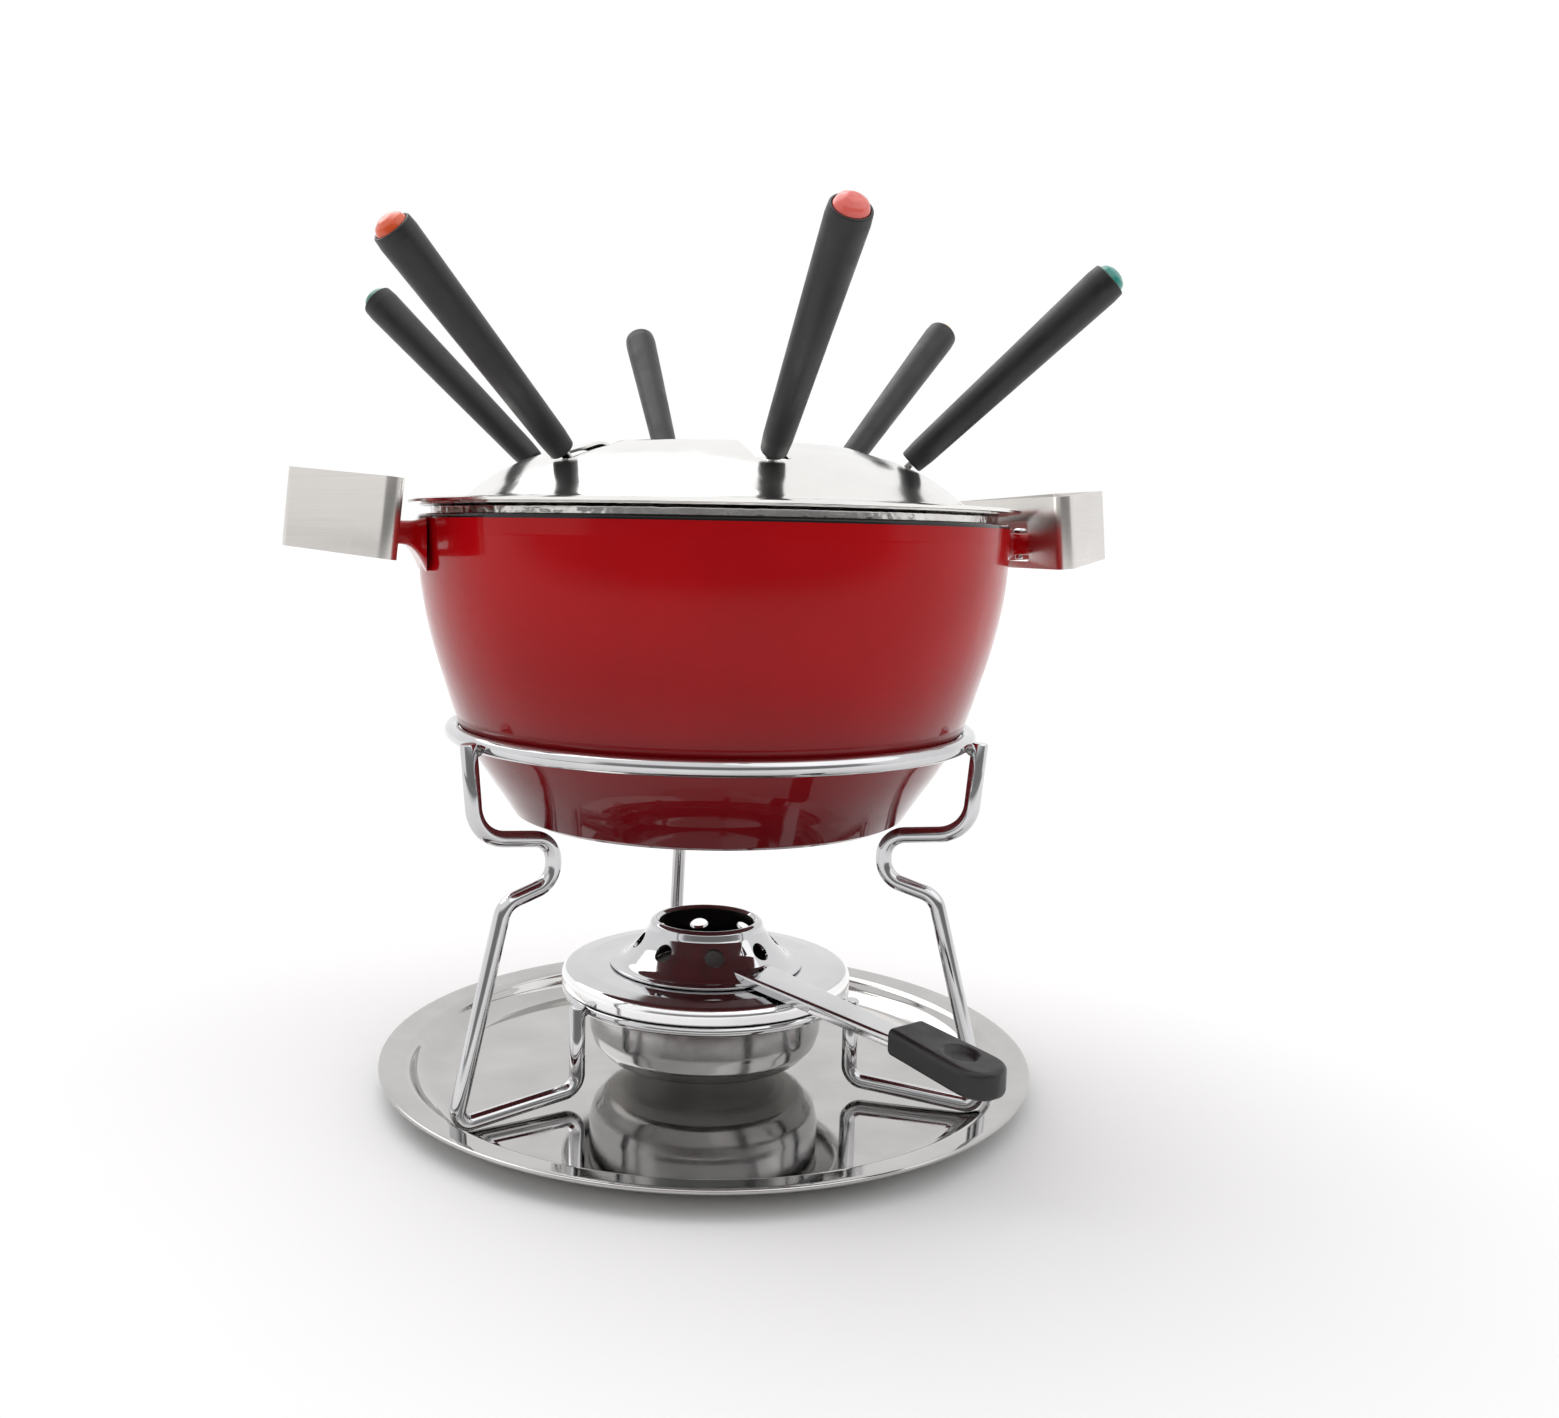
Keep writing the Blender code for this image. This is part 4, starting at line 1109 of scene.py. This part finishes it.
def make_fork_steel(name, tip, start):
    """Round stem flattened into two barbed prongs, along Z with the points at the low end."""
    neck = tip + 27.0
    half, inner = 4.2, 2.5
    shape = rounded([
        (-1.5, neck + 5.0, 2.0), (-2.2, neck, 3.0), (-half, neck - 6.0, 3.0), (-half, tip + 3.0, 1.0),
        (-half + 0.6, tip, 0.1), (-inner, tip + 4.0, 0.3), (-inner + 0.9, tip + 5.4, 0.1),
        (-inner, tip + 6.0, 0.3), (-inner, neck - 7.0, 1.0), (-1.2, neck - 8.6, 1.0),
        (1.2, neck - 8.6, 1.0), (inner, neck - 7.0, 1.0), (inner, tip + 6.0, 0.3),
        (inner - 0.9, tip + 5.4, 0.1), (inner, tip + 4.0, 0.3), (half - 0.6, tip, 0.1),
        (half, tip + 3.0, 1.0), (half, neck - 6.0, 3.0), (2.2, neck, 3.0), (1.5, neck + 5.0, 2.0),
    ], True, 15.0, 400.0)
    head = prism(name + "_head", [shape], -0.8, 0.8, FORK_STEEL)
    soft_edges(head, 0.3, 2)
    head = to_mesh(head)
    head.data.transform(Matrix.Rotation(math.radians(90.0), 4, "X"))
    head.data.transform(Matrix.Rotation(math.radians(90.0), 4, "Z"))
    stem = revolve(name, rounded([
        (0.0, start + 13.0), (1.6, start + 13.0, 0.2), (1.6, neck + 6.0, 2.0), (1.2, neck - 1.0, 0.3),
        (0.0, neck - 1.0),
    ], False), [FORK_STEEL], 24)
    return join(stem, head)


def join(first, second):
    work = bmesh.new()
    work.from_mesh(first.data)
    work.from_mesh(second.data)
    work.to_mesh(first.data)
    work.free()
    bpy.data.objects.remove(second, do_unlink=True)
    return first


# ---------------------------------------------------------------- studio

def make_floor():
    mesh = bpy.data.meshes.new("floor")
    work = bmesh.new()
    bmesh.ops.create_circle(work, cap_ends=True, segments=96, radius=60.0)
    work.to_mesh(mesh)
    work.free()
    material, tree, shader = shader_tree("pale_floor")
    cloud = spread(tree, noise(tree, 2.0, 3.0), 0.0, 1.0)
    pale = blend_colours(tree, cloud, (0.80, 0.80, 0.80), (0.78, 0.78, 0.78))
    # Painted shade: the floor turns dark grey on the camera's side from 0.4 m to 1.3 m out, standing in
    # for a dark room in front for the metal and enamel to reflect.
    place = tree.nodes.new("ShaderNodeTexCoord")
    along = tree.nodes.new("ShaderNodeVectorMath")
    along.operation = "DOT_PRODUCT"
    along.inputs[1].default_value = tuple(polar(1.0, FRONT))
    tree.links.new(place.outputs["Object"], along.inputs[0])
    fade = tree.nodes.new("ShaderNodeMapRange")
    fade.interpolation_type = "SMOOTHSTEP"
    fade.inputs["From Min"].default_value = 0.40
    fade.inputs["From Max"].default_value = 1.30
    tree.links.new(along.outputs["Value"], fade.inputs["Value"])
    shade = tree.nodes.new("ShaderNodeMix")
    shade.data_type = "RGBA"
    shade.inputs["B"].default_value = (0.145, 0.145, 0.145, 1.0)
    tree.links.new(fade.outputs["Result"], shade.inputs["Factor"])
    tree.links.new(pale, shade.inputs["A"])
    tree.links.new(shade.outputs["Result"], shader.inputs["Base Color"])
    shader.inputs["Roughness"].default_value = 0.9
    mesh.materials.append(material)
    floor = bpy.data.objects.new("floor", mesh)
    bpy.context.scene.collection.objects.link(floor)


def make_world():
    """White studio with darker panels towards the side the set is seen from."""
    world = bpy.data.worlds.new("studio")
    bpy.context.scene.world = world
    world.use_nodes = True
    tree = world.node_tree
    back = tree.nodes["Background"]
    place = tree.nodes.new("ShaderNodeTexCoord")
    parts = tree.nodes.new("ShaderNodeSeparateXYZ")
    tree.links.new(place.outputs["Generated"], parts.inputs["Vector"])
    angle = tree.nodes.new("ShaderNodeMath")
    angle.operation = "ARCTAN2"
    tree.links.new(parts.outputs["Y"], angle.inputs[0])
    tree.links.new(parts.outputs["X"], angle.inputs[1])
    turn = tree.nodes.new("ShaderNodeMapRange")
    turn.inputs["From Min"].default_value = -math.pi
    turn.inputs["From Max"].default_value = math.pi
    tree.links.new(angle.outputs["Value"], turn.inputs["Value"])
    round_ramp = tree.nodes.new("ShaderNodeValToRGB")
    ramp = round_ramp.color_ramp
    ramp.interpolation = "EASE"
    stops = [
        (0.0, 1.0), (0.060, 1.0), (0.094, 0.30), (0.150, 0.22), (0.330, 0.22), (0.380, 0.30),
        (0.420, 1.0), (1.0, 1.0),
    ]
    ramp.elements[0].position = stops[0][0]
    ramp.elements[0].color = (stops[0][1],) * 3 + (1.0,)
    ramp.elements[1].position = stops[-1][0]
    ramp.elements[1].color = (stops[-1][1],) * 3 + (1.0,)
    for position, level in stops[1:-1]:
        element = ramp.elements.new(position)
        element.color = (level, level, level, 1.0)
    tree.links.new(turn.outputs["Result"], round_ramp.inputs["Fac"])
    height = tree.nodes.new("ShaderNodeMapRange")
    height.interpolation_type = "SMOOTHSTEP"
    height.inputs["From Min"].default_value = 0.30
    height.inputs["From Max"].default_value = 0.60
    tree.links.new(parts.outputs["Z"], height.inputs["Value"])
    top = tree.nodes.new("ShaderNodeMix")
    top.data_type = "RGBA"
    top.inputs["B"].default_value = (1.0, 1.0, 1.0, 1.0)
    tree.links.new(height.outputs["Result"], top.inputs["Factor"])
    tree.links.new(round_ramp.outputs["Color"], top.inputs["A"])
    tree.links.new(top.outputs["Result"], back.inputs["Color"])
    back.inputs["Strength"].default_value = 1.0


def add_sun(name, direction, strength, spread_degrees):
    light = bpy.data.lights.new(name, "SUN")
    light.energy = strength
    light.angle = math.radians(spread_degrees)
    item = bpy.data.objects.new(name, light)
    item.rotation_mode = "QUATERNION"
    item.rotation_quaternion = Vector(direction).to_track_quat("Z", "Y")
    bpy.context.scene.collection.objects.link(item)


def make_camera():
    """Camera level with the guard, about 0.54 m out, turned 15 degrees off the handles' cross axis."""
    distance, height = 0.536, 0.210
    pitch, roll = math.radians(8.24), math.radians(1.08)
    side = math.radians(FRONT)
    camera = bpy.data.cameras.new("camera")
    camera.sensor_width = 36.0
    camera.sensor_fit = "HORIZONTAL"
    camera.lens = 32.31
    camera.shift_x = 0.0446
    camera.shift_y = 0.0218
    camera.clip_start = 0.02
    item = bpy.data.objects.new("camera", camera)
    ahead = Vector((-math.cos(side), -math.sin(side), 0.0))
    right = Vector((ahead.y, -ahead.x, 0.0))
    forward = (ahead * math.cos(pitch) - Vector((0.0, 0.0, 1.0)) * math.sin(pitch)).normalized()
    up = right.cross(forward)
    level = right * math.cos(roll) + up * math.sin(roll)
    rise = -right * math.sin(roll) + up * math.cos(roll)
    place = Vector((distance * math.cos(side), distance * math.sin(side), height))
    item.matrix_world = Matrix((
        (level.x, rise.x, -forward.x, place.x),
        (level.y, rise.y, -forward.y, place.y),
        (level.z, rise.z, -forward.z, place.z),
        (0.0, 0.0, 0.0, 1.0),
    ))
    bpy.context.scene.collection.objects.link(item)
    bpy.context.scene.camera = item


make_tray()
make_rings()
make_legs()
make_cup()
make_wadding()
make_cover()
make_gauze()
make_regulator()
make_lever()
make_pot()
make_guard()
make_forks()
make_floor()
make_world()
add_sun("key", (-0.35, 0.55, 1.0), 1.2, 60.0)
add_sun("fill", (0.6, -0.5, 1.0), 0.4, 60.0)
make_camera()
bpy.context.scene.view_settings.view_transform = "Standard"
